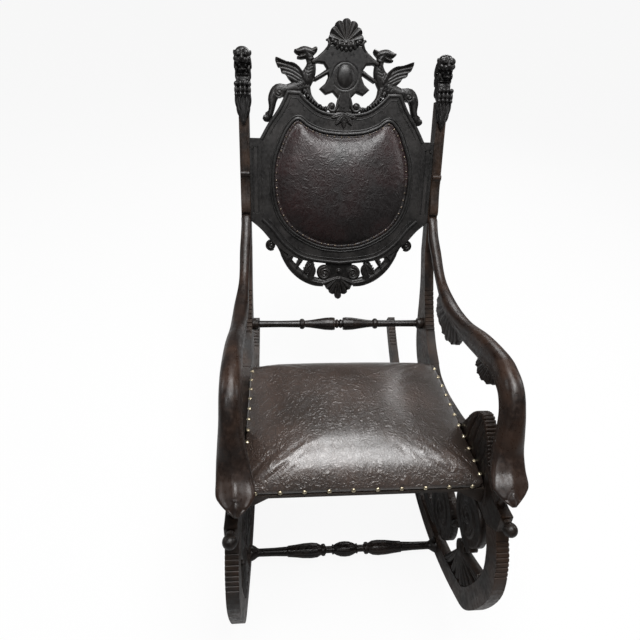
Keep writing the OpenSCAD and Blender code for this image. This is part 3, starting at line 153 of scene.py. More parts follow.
def move_points(me, p):
    """Put a mesh's points at p, in metres."""
    me.vertices.foreach_set("co", p.astype(np.float32).ravel())
    me.update()


def even_out(o, size, times):
    """Modifiers that join an object in even voxels of size millimetres and smooth it."""
    m = o.modifiers.new("Even mesh", "REMESH")
    m.mode, m.voxel_size = "VOXEL", size*MM
    m = o.modifiers.new("Even out", "SMOOTH")
    m.factor, m.iterations = 0.5, times


def applied(o):
    """Mesh that an object's modifiers make of it. They are taken off it."""
    me = bpy.data.meshes.new_from_object(o.evaluated_get(bpy.context.evaluated_depsgraph_get()))
    o.modifiers.clear()
    return me


def new_mesh(name, points, faces, finish, nodes=(), slot=None, body="root", sharp=55, **marks):
    """New piece from points in millimetres and faces, riding on the chair. Marks become point values."""
    me = bpy.data.meshes.new(name)
    me.from_pydata((np.asarray(points, float)*MM).tolist(), [], [list(f) for f in faces])
    me.validate()
    me.update()
    bm = bmesh.new()
    bm.from_mesh(me)
    if bm.calc_volume(signed=True) < 0:
        bmesh.ops.reverse_faces(bm, faces=bm.faces[:])
    bm.to_mesh(me)
    bm.free()
    for key, values in marks.items():
        me.attributes.new(key, "FLOAT", "POINT").data.foreach_set("value", np.asarray(values, np.float32))
    me.polygons.foreach_set("use_smooth", np.ones(len(me.polygons), bool))
    me.set_sharp_from_angle(angle=math.radians(sharp))
    o = bpy.data.objects.new(name, me)
    bpy.context.scene.collection.objects.link(o)
    me.materials.append(finish)
    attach(o, body)
    if nodes:
        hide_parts(*nodes)


def skin(rings):
    """Faces over an array of rings, each of m points: neighbours joined in quads, and two end caps."""
    n, m = rings.shape[:2]
    i, j = np.meshgrid(np.arange(n - 1), np.arange(m), indexing="ij")
    k = (j + 1) % m
    quads = np.stack([i*m + j, i*m + k, (i + 1)*m + k, (i + 1)*m + j], -1).reshape(-1, 4).tolist()
    return quads + [list(range(m))[::-1], [(n - 1)*m + a for a in range(m)]]


def joined(skins):
    """Points and faces of several arrays of rings as one. A -1 beside an array turns its faces over."""
    points, faces, start = [], [], 0
    for rings, way in skins:
        points.append(rings.reshape(-1, 3))
        faces += [[i + start for i in f][::way] for f in skin(rings)]
        start += rings.shape[0]*rings.shape[1]
    return np.vstack(points), faces


class Ground:
    """A carver's ground over a CAD board: a grid in the board's plane, with the signed distance to the
    board's outline, negative inside, and the height of the carving over the middle of the board."""

    def __init__(self, node, place, depth, low, high, step=1.4, base=6.0):
        self.place, self.step, self.base = place, step, base
        u = np.arange(low[0], high[0] + step, step)
        v = np.arange(low[1], high[1] + step, step)
        self.p = np.stack(np.meshgrid(u, v), -1)
        board = NODES[node].data
        tree = BVHTree.FromPolygons([c.co for c in board.vertices],
                                    [list(f.vertices) for f in board.polygons])
        flat = self.p.reshape(-1, 2)
        spots = place(np.c_[flat[:, 0], np.full(len(flat), depth), flat[:, 1]])*MM
        back = Vector(place([(0, 1, 0)])[0] - place([(0, 0, 0)])[0])
        out = np.empty(len(flat))
        # A point is inside the board where the way back meets a face from within
        for i, s in enumerate(spots):
            _, way, _, _ = tree.ray_cast(s, back)
            far = tree.find_nearest(s)[3]/MM
            out[i] = -far if way and way @ back > 0 else far
        self.out = out.reshape(self.p.shape[:2])
        self.top = np.full(self.out.shape, float(base))

    def window(self, line, pad):
        """Part of the grid that a line reaches, with a margin."""
        u, v = self.p[0, :, 0], self.p[:, 0, 1]
        lo, hi = line[:, :2].min(0) - pad, line[:, :2].max(0) + pad
        return (slice(*np.searchsorted(v, [lo[1], hi[1]])), slice(*np.searchsorted(u, [lo[0], hi[0]])))

    def under(self, line):
        """Window of a line with widths, the mask of what it covers there, and 1 - q^2 with q the share of its
        half width."""
        line = np.asarray(line, float)
        w = self.window(line, line[:, 2].max())
        gap, half = near(self.p[w], line)
        q = np.clip(1 + gap/half, 0, 1)
        return w, gap < 0, 1 - q*q

    def ridge(self, line, rise, base=None, power=0.7):
        """Rounded ridge along a line: base + rise (1 - q^2)^power, where that is above what is there."""
        w, covered, hump = self.under(line)
        low = self.base if base is None else base
        self.top[w] = np.where(covered, np.maximum(self.top[w], low + rise*hump**power), self.top[w])

    def knob(self, c, width, rise, base, power=0.6):
        """Round knob at c: the shortest ridge."""
        self.ridge([(c[0], c[1], width), (c[0] + 0.1, c[1], width)], rise, base, power)

    def groove(self, line, depth, power=0.6):
        """Rounded groove along a line, cut depth (1 - q^2)^power deep into what is there."""
        w, covered, hump = self.under(line)
        self.top[w] = np.where(covered, self.top[w] - depth*hump**power, self.top[w])

    def soften(self, rise, radius):
        """Rise from the outline inward: rise (1 - (1 - t)^2)^0.5, with t the distance over the radius and at
        most 1."""
        t = np.clip(-self.out/radius, 0, 1)
        self.top = self.top + rise*(1 - (1 - t)**2)**0.5

    def surface(self, name, finish, nodes, middle, both=False, back=9.0, mirror=False):
        """Closed surface over the grid cells inside the outline, whose rim is moved onto the outline. The
        front is at the carving's height before the middle depth. The back is its mirror image, or flat."""
        o, top, most = self.out, blur(self.top, 1), self.step*1.2
        # Cells inside, where two that meet only at a corner get a third
        keep = (o[:-1, :-1] + o[1:, :-1] + o[:-1, 1:] + o[1:, 1:]) < 0
        for _ in range(4):
            a, b, c, d = keep[:-1, :-1], keep[:-1, 1:], keep[1:, :-1], keep[1:, 1:]
            one, two = a & d & ~b & ~c, b & c & ~a & ~d
            keep[:-1, 1:] |= one
            keep[:-1, :-1] |= two
        count = np.zeros(o.shape, int)
        for r in (slice(None, -1), slice(1, None)):
            for s in (slice(None, -1), slice(1, None)):
                count[r, s] += keep
        used, rim = count > 0, (count > 0) & (count < 4)
        # Rim points slide to the outline along the distance's gradient
        gv, gu = np.gradient(o, self.step)
        size = np.maximum(np.hypot(gu, gv), 0.3)
        slip = np.where(rim, np.clip(o, -most, most), 0)
        flat = np.stack([self.p[..., 0] - slip*gu/size, self.p[..., 1] - slip*gv/size], -1)[used]
        high = np.where(rim, np.minimum(top, self.base), top)[used]
        low = -high if both else np.full(len(high), -back)
        worn = (top - blur(top, 8))[used]
        # Front and back of each cell, and walls where it has no neighbour
        index = np.cumsum(used.ravel()).reshape(used.shape) - 1
        n = int(used.sum())
        corner = [index[:-1, :-1], index[:-1, 1:], index[1:, 1:], index[1:, :-1]]
        front = np.stack([c[keep] for c in corner], -1)
        wide = np.pad(keep, 1)
        open_side = [~wide[:-2, 1:-1], ~wide[1:-1, 2:], ~wide[2:, 1:-1], ~wide[1:-1, :-2]]
        walls = [np.stack([corner[(k + 1) % 4][m], corner[k][m],
                           corner[k][m] + n, corner[(k + 1) % 4][m] + n], -1)
                 for k in range(4) for m in [keep & open_side[k]]]
        faces = np.vstack([front, front[:, ::-1] + n, *walls])
        points = np.vstack([np.c_[flat[:, 0], middle - high, flat[:, 1]],
                            np.c_[flat[:, 0], middle - low, flat[:, 1]]])
        for side, word in (SIDES if mirror else SIDES[:1]):
            mine = [k.replace("right", word) for k in nodes]
            new_mesh(f"{name}_{word}" if mirror else name, self.place(points)*np.array([side, 1, 1]),
                     faces.tolist(), finish, mine, worn=np.r_[worn, worn if both else worn*0])


def leaf_line(root, angle, length, width, bend, n=9):
    """Middle line of a leaf: it leaves its root at an angle in degrees and turns by bend, and its width
    swells as sin(pi t^0.7)."""
    t = np.linspace(0, 1, n)
    a = np.radians(angle + bend*t)
    p = (np.array(root, float)
         + np.vstack([[0, 0], np.cumsum(np.c_[np.cos(a), np.sin(a)][:-1], 0)])*length/(n - 1))
    return np.c_[p, width*(0.12 + 0.88*np.sin(np.pi*np.clip(t, 0, 1)**0.7))]


# Finishes

def add(tree, kind, inputs=None, **settings):
    """New shader node: inputs holds socket names with a value, or with the output socket that feeds them."""
    n = tree.nodes.new("ShaderNode" + kind)
    n.location = (200*(len(tree.nodes) % 8), -260*(len(tree.nodes)//8))
    for key, value in settings.items():
        setattr(n, key, value)
    for key, value in (inputs or {}).items():
        if isinstance(value, bpy.types.NodeSocket):
            tree.links.new(value, n.inputs[key])
        else:
            n.inputs[key].default_value = value
    return n


def new_group(name, ins, outs):
    """Empty node group with those sockets, and its input and output nodes."""
    g = bpy.data.node_groups.new(name, "ShaderNodeTree")
    for label, kind, value in ins:
        s = g.interface.new_socket(label, in_out="INPUT", socket_type="NodeSocket" + kind)
        s.default_value = value
    for label, kind in outs:
        g.interface.new_socket(label, in_out="OUTPUT", socket_type="NodeSocket" + kind)
    return g, g.nodes.new("NodeGroupInput").outputs, g.nodes.new("NodeGroupOutput").inputs


def spread(g, value, low, high, to_low=0.0, to_high=1.0):
    """Output of a node that spreads a value's range low to high over to_low to to_high."""
    return add(g, "MapRange", {"Value": value, "From Min": low, "From Max": high, "To Min": to_low,
                               "To Max": to_high}).outputs["Result"]


def maths(g, kind, a, b=0.5):
    """Output of a Math node on two values."""
    return add(g, "Math", {0: a, 1: b}, operation=kind).outputs[0]


def blend(g, share, a, b, kind="MIX"):
    """Output of a node that mixes two colours."""
    return add(g, "MixRGB", {"Fac": share, "Color1": a, "Color2": b}, blend_type=kind).outputs[0]


def wood_group():
    """Ebonised wood: stretched grain, rubbed brown on edges and ridges, with dust in the hollows."""
    g, i, o = new_group("Ebonised wood", [
        ("Stain", "Color", (0.012, 0.010, 0.009, 1)), ("Rubbed", "Color", (0.06, 0.035, 0.022, 1)),
        ("Stretch", "Vector", (1, 1, 1)), ("Roughness", "Float", 0.4), ("Wear", "Float", 0.5),
        ("Dust", "Float", 0.3)], [("Base Color", "Color"), ("Roughness", "Float"), ("Height", "Float")])
    place = add(g, "TexCoord").outputs["Object"]
    long = add(g, "VectorMath", {0: place, 1: i["Stretch"]}, operation="MULTIPLY").outputs[0]
    grain = add(g, "TexNoise", {"Vector": long, "Scale": 240, "Detail": 5, "Distortion": 0.4}).outputs["Fac"]
    cloud = add(g, "TexNoise", {"Vector": place, "Scale": 17, "Detail": 3}).outputs["Fac"]
    specks = add(g, "TexNoise", {"Vector": place, "Scale": 420, "Detail": 3}).outputs["Fac"]
    scuff = add(g, "TexNoise", {"Vector": place, "Scale": 130, "Detail": 5, "Roughness": 0.6}).outputs["Fac"]
    carved = add(g, "Attribute", attribute_name="worn").outputs["Fac"]
    point = add(g, "NewGeometry").outputs["Pointiness"]
    edge = maths(g, "ADD", spread(g, point, 0.53, 0.62), spread(g, carved, 0.25, 1.4))
    edge = maths(g, "MULTIPLY", edge, maths(g, "MULTIPLY", spread(g, cloud, 0.35, 0.62), i["Wear"]))
    low = maths(g, "ADD", spread(g, point, 0.48, 0.41), spread(g, carved, -0.2, -1.2))
    low = maths(g, "MULTIPLY", low, maths(g, "MULTIPLY", spread(g, specks, 0.4, 0.6, 0.4, 1), i["Dust"]))
    base = blend(g, 1.0, i["Stain"], blend(g, grain, (0.55, 0.55, 0.55, 1), (1.5, 1.4, 1.3, 1)), "MULTIPLY")
    base = blend(g, maths(g, "MULTIPLY", spread(g, cloud, 0.45, 0.75), 0.25), base, i["Rubbed"])
    base = blend(g, maths(g, "MULTIPLY", spread(g, scuff, 0.52, 0.7), 0.3), base, i["Rubbed"])
    base = blend(g, edge, base, i["Rubbed"])
    base = blend(g, low, base, (0.030, 0.027, 0.024, 1))
    g.links.new(base, o["Base Color"])
    rough = maths(g, "ADD", i["Roughness"], spread(g, grain, 0.3, 0.7, -0.07, 0.1))
    rough = maths(g, "ADD", rough, spread(g, scuff, 0.35, 0.65, -0.08, 0.16))
    rough = maths(g, "ADD", rough, maths(g, "MULTIPLY", low, 0.3))
    g.links.new(maths(g, "SUBTRACT", rough, maths(g, "MULTIPLY", edge, 0.08)), o["Roughness"])
    fine = maths(g, "ADD", maths(g, "MULTIPLY", grain, 0.35), maths(g, "MULTIPLY", cloud, 0.8))
    g.links.new(maths(g, "ADD", fine, maths(g, "MULTIPLY", specks, 0.12)), o["Height"])


def leather_group():
    """Embossed leather: swellings between the zero lines of a warped noise, softer crinkles over them, paler
    in worn patches, dull in the creases, and darkened there with painted shade."""
    g, i, o = new_group("Embossed leather", [
        ("Hide", "Color", (0.03, 0.02, 0.018, 1)), ("Rubbed", "Color", (0.09, 0.06, 0.05, 1)),
        ("Crinkle", "Float", 60.0), ("Roughness", "Float", 0.35), ("Patches", "Float", 0.5)],
        [("Base Color", "Color"), ("Roughness", "Float"), ("Height", "Float")])
    place = add(g, "TexCoord").outputs["Object"]
    sway = add(g, "TexNoise", {"Vector": place, "Scale": 24, "Detail": 2}).outputs["Color"]
    sway = add(g, "VectorMath", {0: sway, "Scale": 0.03}, operation="SCALE").outputs[0]
    bent = add(g, "VectorMath", {0: place, 1: sway}, operation="ADD").outputs[0]
    folds = add(g, "TexNoise", {"Vector": bent, "Scale": i["Crinkle"], "Detail": 1.2,
                                "Distortion": 1.1}).outputs["Fac"]
    line = maths(g, "ABSOLUTE", maths(g, "SUBTRACT", folds, 0.5))
    crease = spread(g, line, 0.0, 0.07)
    swell = add(g, "MapRange", {"Value": line, "From Min": 0.0, "From Max": 0.26},
                interpolation_type="SMOOTHSTEP").outputs["Result"]
    soft = add(g, "TexNoise", {"Vector": bent, "Scale": maths(g, "MULTIPLY", i["Crinkle"], 2.1),
                               "Detail": 1.5, "Distortion": 1.6}).outputs["Fac"]
    patch = add(g, "TexNoise", {"Vector": place, "Scale": 7, "Detail": 3}).outputs["Fac"]
    fine = add(g, "TexNoise", {"Vector": place, "Scale": 900, "Detail": 2}).outputs["Fac"]
    worn = maths(g, "MULTIPLY", spread(g, patch, 0.42, 0.66), i["Patches"])
    base = blend(g, worn, i["Hide"], i["Rubbed"])
    # Painted shade: the creases are darkened toward near black in place of the shade that falls in them
    base = blend(g, maths(g, "MULTIPLY", spread(g, crease, 1, 0), 0.4), base, (0.006, 0.005, 0.005, 1))
    g.links.new(base, o["Base Color"])
    rough = maths(g, "ADD", i["Roughness"], spread(g, crease, 1, 0, 0, 0.2))
    g.links.new(maths(g, "ADD", rough, spread(g, fine, 0.3, 0.7, -0.04, 0.04)), o["Roughness"])
    high = maths(g, "ADD", swell, maths(g, "MULTIPLY", soft, 1.1))
    g.links.new(maths(g, "ADD", high, maths(g, "MULTIPLY", fine, 0.06)), o["Height"])


def metal_group():
    """Old metal: tarnish in clouds, brighter on the crowns."""
    g, i, o = new_group("Old metal", [
        ("Metal", "Color", (0.5, 0.42, 0.28, 1)), ("Tarnish", "Color", (0.08, 0.06, 0.04, 1)),
        ("Share", "Float", 0.5)], [("Base Color", "Color"), ("Roughness", "Float"), ("Height", "Float")])
    place = add(g, "TexCoord").outputs["Object"]
    cloud = add(g, "TexNoise", {"Vector": place, "Scale": 150, "Detail": 4}).outputs["Fac"]
    point = add(g, "NewGeometry").outputs["Pointiness"]
    share = maths(g, "MULTIPLY",
                  spread(g, maths(g, "SUBTRACT", cloud, maths(g, "SUBTRACT", point, 0.5)), 0.35, 0.6),
                  i["Share"])
    g.links.new(blend(g, share, i["Metal"], i["Tarnish"]), o["Base Color"])
    g.links.new(spread(g, cloud, 0.3, 0.7, 0.28, 0.55), o["Roughness"])
    g.links.new(cloud, o["Height"])


def finish_of(name, group, values, bump=(0.3, 0.0006), round_edges=0.0, **shader):
    """Material fed with colour, roughness and bump by a node group. A bevel shades sharp edges round."""
    m = bpy.data.materials.new(name)
    m.use_nodes = True
    t = m.node_tree
    p = t.nodes["Principled BSDF"]
    g = add(t, "Group", node_tree=bpy.data.node_groups[group])
    for key, value in values.items():
        g.inputs[key].default_value = value
    t.links.new(g.outputs["Base Color"], p.inputs["Base Color"])
    t.links.new(g.outputs["Roughness"], p.inputs["Roughness"])
    b = add(t, "Bump", {"Height": g.outputs["Height"], "Strength": bump[0], "Distance": bump[1]})
    if round_edges:
        t.links.new(add(t, "Bevel", {"Radius": round_edges*MM}, samples=4).outputs[0], b.inputs["Normal"])
    t.links.new(b.outputs[0], p.inputs["Normal"])
    for key, value in shader.items():
        p.inputs[key.replace("_", " ").title().replace("Ior", "IOR")].default_value = value
    return m


def carving(slot):
    """A wood's finish for pieces whose edges are rounded already."""
    return bpy.data.materials[slot + "_carving"]


# Stain, rubbed colour, stretch of the grain, roughness, wear and dust of each wood
WOODS = {
    "runner_wood": ((0.0045, 0.003, 0.0022, 1), (0.034, 0.019, 0.012, 1), (1, 0.12, 0.5), 0.42, 0.8, 0.5),
    "frame_wood": ((0.0045, 0.003, 0.0022, 1), (0.042, 0.023, 0.014, 1), (1, 0.15, 0.3), 0.40, 0.7, 0.5),
    "arm_wood": ((0.008, 0.005, 0.004, 1), (0.046, 0.024, 0.015, 1), (1, 0.12, 0.4), 0.34, 0.7, 0.5),
    "carved_wood": ((0.004, 0.0037, 0.0037, 1), (0.030, 0.026, 0.024, 1), (1, 1, 0.2), 0.36, 0.9, 0.7),
    "panel_wood": ((0.0045, 0.0042, 0.0042, 1), (0.026, 0.024, 0.023, 1), (1, 1, 0.12), 0.42, 0.8, 0.6),
    "turned_wood": ((0.004, 0.003, 0.0028, 1), (0.048, 0.028, 0.018, 1), (0.1, 1, 1), 0.30, 0.6, 0.4),
    "hidden_wood": ((0.012, 0.008, 0.006, 1), (0.040, 0.028, 0.020, 1), (0.15, 1, 1), 0.55, 0.4, 0.5)}


class ChairFinish(bpy.types.PropertyGroup):
    """Finish of the wood and the leather"""
    edge: bpy.props.FloatProperty(
        name="Edge rounding", description="Radius that the shading gives to sawn edges, in millimetres",
        default=0.9, min=0.0, max=3.0)
    emboss: bpy.props.FloatProperty(
        name="Embossing depth", description="Depth of the leather's crinkles, in millimetres",
        default=1.5, min=0.1, max=4.0)
    crinkle: bpy.props.FloatProperty(
        name="Crinkle scale", description="Crinkles to a metre across the leather",
        default=64.0, min=10.0, max=200.0)


class CHAIR_OT_finishes(bpy.types.Operator):
    """Make the wood, leather and metal finishes and give every CAD node its own"""
    bl_idname = "chair.finishes"
    bl_label = "Finishes"

    def execute(self, context):
        s = context.scene.chair_finish
        for m in list(bpy.data.materials):
            bpy.data.materials.remove(m)
        for make in (wood_group, leather_group, metal_group):
            make()
        for slot, (stain, rubbed, stretch, rough, wear, dust) in WOODS.items():
            for suffix, edge in (("", s.edge), ("_carving", 0.0)):
                finish_of(slot + suffix, "Ebonised wood",
                          {"Stain": stain, "Rubbed": rubbed, "Stretch": stretch, "Roughness": rough,
                           "Wear": wear, "Dust": dust},
                          (0.35, 0.0005), edge, coat_weight=0.1, coat_roughness=0.25, specular_ior_level=0.3)
        for slot, hide, rubbed, rough, patches, bump, coat in (
                ("seat_leather", (0.026, 0.018, 0.014, 1), (0.062, 0.042, 0.034, 1), 0.28, 0.8, 1.0, 1.0),
                ("back_leather", (0.004, 0.002, 0.002, 1), (0.022, 0.006, 0.006, 1), 0.42, 0.75, 0.36, 0.1)):
            finish_of(slot, "Embossed leather", {"Hide": hide, "Rubbed": rubbed, "Crinkle": s.crinkle,
                      "Roughness": rough, "Patches": patches}, (bump, s.emboss*MM),
                      coat_weight=coat, coat_roughness=0.28)
        for slot, metal, tarnish, share in (
                ("seat_brass", (0.56, 0.50, 0.36, 1), (0.16, 0.12, 0.08, 1), 0.7),
                ("dark_brass", (0.16, 0.13, 0.10, 1), (0.02, 0.017, 0.015, 1), 0.9),
                ("screw_steel", (0.40, 0.39, 0.37, 1), (0.10, 0.07, 0.05, 1), 0.5)):
            finish_of(slot, "Old metal", {"Metal": metal, "Tarnish": tarnish, "Share": share}, (0.2, 0.0002),
                      metallic=1.0)
        for n, o in NODES.items():
            o.data.materials.clear()
            o.data.materials.append(bpy.data.materials[SLOTS[n]])
        return {"FINISHED"}


# Cushions

CUSHION_MESH = 5.0                                   # Length of the cushions' mesh edges
FRAMES, PRESSURE, STIFFNESS = 20, 4.0, 12            # Of the cloth that swells
SEAT_HALF, SEAT_MIDDLE, SEAT_EDGE = 215, -170, 15    # Half width, middle in Y, height of the nailed edge
SEAT_RISE, BACK_RISE = 9, 5                          # Of the domes


def stuffed(name, node, pinned, limit, rounding, dome):
    """Cushion from a CAD solid: remeshed evenly, its shoulders rounded, domed, then blown up as cloth with
    its nailed edge held, each point moved at most limit millimetres, and smoothed once."""
    o = bpy.data.objects.new(name, NODES[node].data.copy())
    bpy.context.scene.collection.objects.link(o)
    even_out(o, CUSHION_MESH, 6)
    o.data = applied(o)
    free = o.vertex_groups.new(name="free")
    free.add(np.flatnonzero(~pinned(points_of(o.data)/MM)).tolist(), 1.0, "REPLACE")
    m = o.modifiers.new("Rounded shoulders", "SMOOTH")
    m.factor, m.iterations, m.vertex_group = 0.5, rounding, "free"
    me = o.data = applied(o)
    rest = points_of(me)
    rest += dome(rest/MM)*MM
    move_points(me, rest)
    hold = o.vertex_groups.new(name="nailed edge")
    hold.add(np.flatnonzero(pinned(rest/MM)).tolist(), 1.0, "REPLACE")
    c = o.modifiers.new("Stuffing", "CLOTH")
    c.settings.quality, c.settings.mass = 5, 0.2
    c.settings.vertex_group_mass = "nailed edge"
    c.settings.tension_stiffness = c.settings.compression_stiffness = STIFFNESS
    c.settings.use_pressure, c.settings.uniform_pressure_force = True, PRESSURE
    c.settings.effector_weights.gravity = 0.0
    c.point_cache.frame_start, c.point_cache.frame_end = 1, FRAMES
    for f in range(1, FRAMES + 1):
        bpy.context.scene.frame_set(f)
    moved = points_of(applied(o)) - rest
    far = np.linalg.norm(moved, axis=1)[:, None]
    moved *= np.minimum(1, limit*MM/np.maximum(far, 1e-9))
    move_points(me, rest + moved)
    bpy.context.scene.frame_set(1)
    me.polygons.foreach_set("use_smooth", np.ones(len(me.polygons), bool))
    s = o.modifiers.new("Smooth skin", "SUBSURF")
    s.levels = s.render_levels = 1
    me.materials.clear()
    me.materials.append(bpy.data.materials[SLOTS[node]])
    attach(o, "root")
    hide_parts(node)


def height_on_seat(p):
    """How far points in millimetres stand over the seat's board."""
    return (p[:, 1] - SEAT_Y)*math.sin(SLOPE) + (p[:, 2] - SEAT_Z)*math.cos(SLOPE)


def depth_on_back(p):
    """How far points in millimetres lie behind the stiles' front faces."""
    return (p[:, 1] - BACK_Y)*math.cos(LEAN) - (p[:, 2] - BACK_Z)*math.sin(LEAN)


def seat_dome(p):
    """Rise of the seat over its rounded solid, above the nailed edge: SEAT_RISE (1 - (x/half)^2)
    (1 - ((y - middle)/half)^2)."""
    y = np.clip((p[:, 1] - SEAT_MIDDLE)/SEAT_HALF, -1, 1)
    up = np.clip((height_on_seat(p) - SEAT_EDGE)/SEAT_EDGE, 0, 1)
    rise = SEAT_RISE*np.clip(1 - (p[:, 0]/SEAT_HALF)**2, 0, 1)*(1 - y*y)*up
    return rise[:, None]*[0, math.sin(SLOPE), math.cos(SLOPE)]


def back_dome(p):
    """Rise of the back pad in front of its rounded solid: BACK_RISE (1 - (x/180)^2 - ((s + 130)/165)^2), with
    s the height along the lean, falling off to its nailed edge."""
    s = (p[:, 1] - BACK_Y)*math.sin(LEAN) + (p[:, 2] - BACK_Z)*math.cos(LEAN)
    front = np.clip(-depth_on_back(p)/10, 0, 1)
    rise = BACK_RISE*np.clip(1 - (p[:, 0]/180)**2 - ((s + 130)/165)**2, 0, 1)*front
    return rise[:, None]*[0, -math.cos(LEAN), math.sin(LEAN)]


# Half the back cushion's outline, in shares of its half width and its height
PAD = [(0, -0.107), (0.295, -0.093), (0.514, -0.051), (0.667, 0), (0.79, -0.06), (0.874, -0.146),
       (0.984, -0.319), (1, -0.522), (0.923, -0.713), (0.721, -0.86), (0.35, -0.97), (0, -1)]
PAD_HALF, PAD_TOP, PAD_HEIGHT = 183, 46, 335


def pad_line(inset):
    """Outline of the back cushion, moved in by inset, as (across, height) points going round clockwise from
    the top middle."""
    half = smooth([(PAD_HALF*a, PAD_TOP + PAD_HEIGHT*b) for a, b in PAD])
    p = np.vstack([half[:-1], np.c_[-half[::-1, 0], half[::-1, 1]][:-1]])
    way = np.roll(p, -1, 0) - np.roll(p, 1, 0)
    way /= np.linalg.norm(way, axis=1)[:, None]
    return p + inset*np.c_[way[:, 1], -way[:, 0]]


def round_the_pad(name, profile, finish, nodes=(), slot=None):
    """Moulding round the back cushion: a profile of (outward offset, rise in front of the panel) swept along
    the cushion's outline."""
    rings = []
    for off, rise in profile:
        line = pad_line(-off)
        rings.append(on_back(np.c_[line[:, 0], np.full(len(line), 3 - rise), line[:, 1]]))
    rings = np.stack(rings, 1)
    n, m = rings.shape[:2]
    i, j = np.meshgrid(np.arange(n), np.arange(m), indexing="ij")
    a, b = (i + 1) % n, (j + 1) % m
    faces = np.stack([i*m + j, i*m + b, a*m + b, a*m + j], -1).reshape(-1, 4)
    new_mesh(name, rings.reshape(-1, 3), faces.tolist(), finish, nodes, slot, sharp=60)


def mitred(line):
    """For each point of a (u, v) line: the vector to its left whose length keeps a parallel line one away."""
    step = np.diff(line, axis=0)
    left = np.c_[-step[:, 1], step[:, 0]]/np.linalg.norm(step, axis=1)[:, None]
    a, b = np.vstack([left[:1], left]), np.vstack([left, left[-1:]])
    return (a + b)/np.maximum(1 + (a*b).sum(1), 0.25)[:, None]


def run_along(name, lines, profile, finish, slot, depth=3.0):
    """Mouldings: a profile of (offset to the left, rise) run along open (across, height) lines on a face of
    the back, with closed ends."""
    rows = []
    for line in lines:
        side = mitred(line)
        rows.append((np.stack([on_back(np.c_[line[:, 0] + side[:, 0]*off, np.full(len(line), depth - rise),
                                             line[:, 1] + side[:, 1]*off]) for off, rise in profile], 1), 1))
    new_mesh(name, *joined(rows), finish, slot=slot, sharp=50)


def stems(name, lines, slot, around=14, deep=0.85):
    """Rounded stems on both sides of the back: ellipses round each line's (across, depth, height) points,
    with its radii, ending in small caps."""
    a = circle(around)
    rows = []
    for line in lines:
        for k in (1, -1):
            p = smooth(line, 5)*[k, 1, 1, 1]
            side = mitred(p[:, [0, 2]])
            across = p[:, 3, None]*np.cos(a)
            ring = np.stack([p[:, 0, None] + side[:, :1]*across, p[:, 1, None] - deep*p[:, 3, None]*np.sin(a),
                             p[:, 2, None] + side[:, 1:]*across], -1)
            rows.append((on_back(ring.reshape(-1, 3)).reshape(ring.shape), k))
    new_mesh(name, *joined(rows), carving(slot), slot=slot, sharp=60)


# The panel's outline, in shares of its half width and of the height of its crown or its foot
HORN_TOP = [(0, 0.565), (0.155, 0.575), (0.3, 0.645), (0.44, 0.83), (0.52, 0.99)]
HORN_SIDE = [(0.68, 1), (0.775, 0.65), (0.9, 0.32), (1, 0)]
FOOT = [(1, 0), (0.885, 0.2), (0.72, 0.567), (0.45, 0.883), (0, 1)]
PANEL_HALF, CROWN, FOOT_TOP, FOOT_HEIGHT = 222, 118, -216, 122

# Profiles of (offset to the left, rise)
WIDE_BEAD = [(4.4, -1), (4.4, 1.2), (3.6, 2.2), (2.0, 3.0), (0, 3.3), (-2.0, 3.0), (-3.6, 2.2), (-4.4, 1.2),
             (-4.4, -1)]
THIN_BEAD = [(1.3, -1), (1.3, 0.5), (0.8, 1.1), (0, 1.3), (-0.8, 1.1), (-1.3, 0.5), (-1.3, -1)]


def panel_mouldings():
    """Two beads along the panel's crown and foot, set in from its outline, a thin bead down each side block,
    and two down each stile."""
    crown = placer(0, 0, PANEL_HALF, CROWN)
    top = np.vstack([smooth([crown(*q) for q in HORN_TOP], 5), smooth([crown(*q) for q in HORN_SIDE], 4)])
    low = smooth([(PANEL_HALF*a, FOOT_TOP - FOOT_HEIGHT*b) for a, b in FOOT], 5)
    lines = [np.vstack([top[::-1], top[1:]*[-1, 1]]), np.vstack([low, low[-2::-1]*[-1, 1]])[::-1]]
    edge = [q + mitred(q)*5.2 for q in lines]
    inner = [(q + mitred(q)*17)[2:-2] for q in lines]
    blocks = [np.array([(x, -13.0), (x, -203.0)]) for x in (219, -219)]
    stiles = [np.array([(k*x, 24.0), (k*x, -150.0)])[::k] for k in (1, -1) for x in (255, 271)]
    run_along("edge_bead", edge, WIDE_BEAD, carving("panel_wood"), "panel_wood")
    run_along("inner_bead", inner + blocks, THIN_BEAD, carving("panel_wood"), "panel_wood")
    run_along("stile_beads", stiles, THIN_BEAD, carving("frame_wood"), "frame_wood", 0)


# Profiles of (outward offset, rise)
PAD_MOULDING = [(0.4, -1), (0.4, 3.2), (1.6, 4.6), (3.8, 5.0), (6.4, 4.5), (8.4, 3.2), (9.2, 2.0),
                (10.2, 2.9), (11.6, 3.1), (13.0, 2.4), (13.9, 1.0), (14.0, -1)]
GIMP = [(-8.0, 0.4), (-7.2, 1.3), (-5.0, 1.6), (-2.6, 1.6), (-0.6, 1.3), (0.0, 0.4)]


class CHAIR_OT_cushions(bpy.types.Operator):
    """Stuff the cushions, lay the moulding and gimp round the back one, and run the panel's beads"""
    bl_idname = "chair.cushions"
    bl_label = "Cushions"

    def execute(self, context):
        stuffed("seat_stuffing", "seat_cushion", lambda p: height_on_seat(p) < SEAT_EDGE,
                limit=9, rounding=60, dome=seat_dome)
        stuffed("back_stuffing", "back_cushion", lambda p: depth_on_back(p) > -1,
                limit=8, rounding=20, dome=back_dome)
        round_the_pad("pad_moulding", PAD_MOULDING, carving("panel_wood"), ["cushion_moulding"])
        round_the_pad("pad_gimp", GIMP, bpy.data.materials["back_leather"], slot="back_leather")
        panel_mouldings()
        return {"FINISHED"}


# Turned front rail

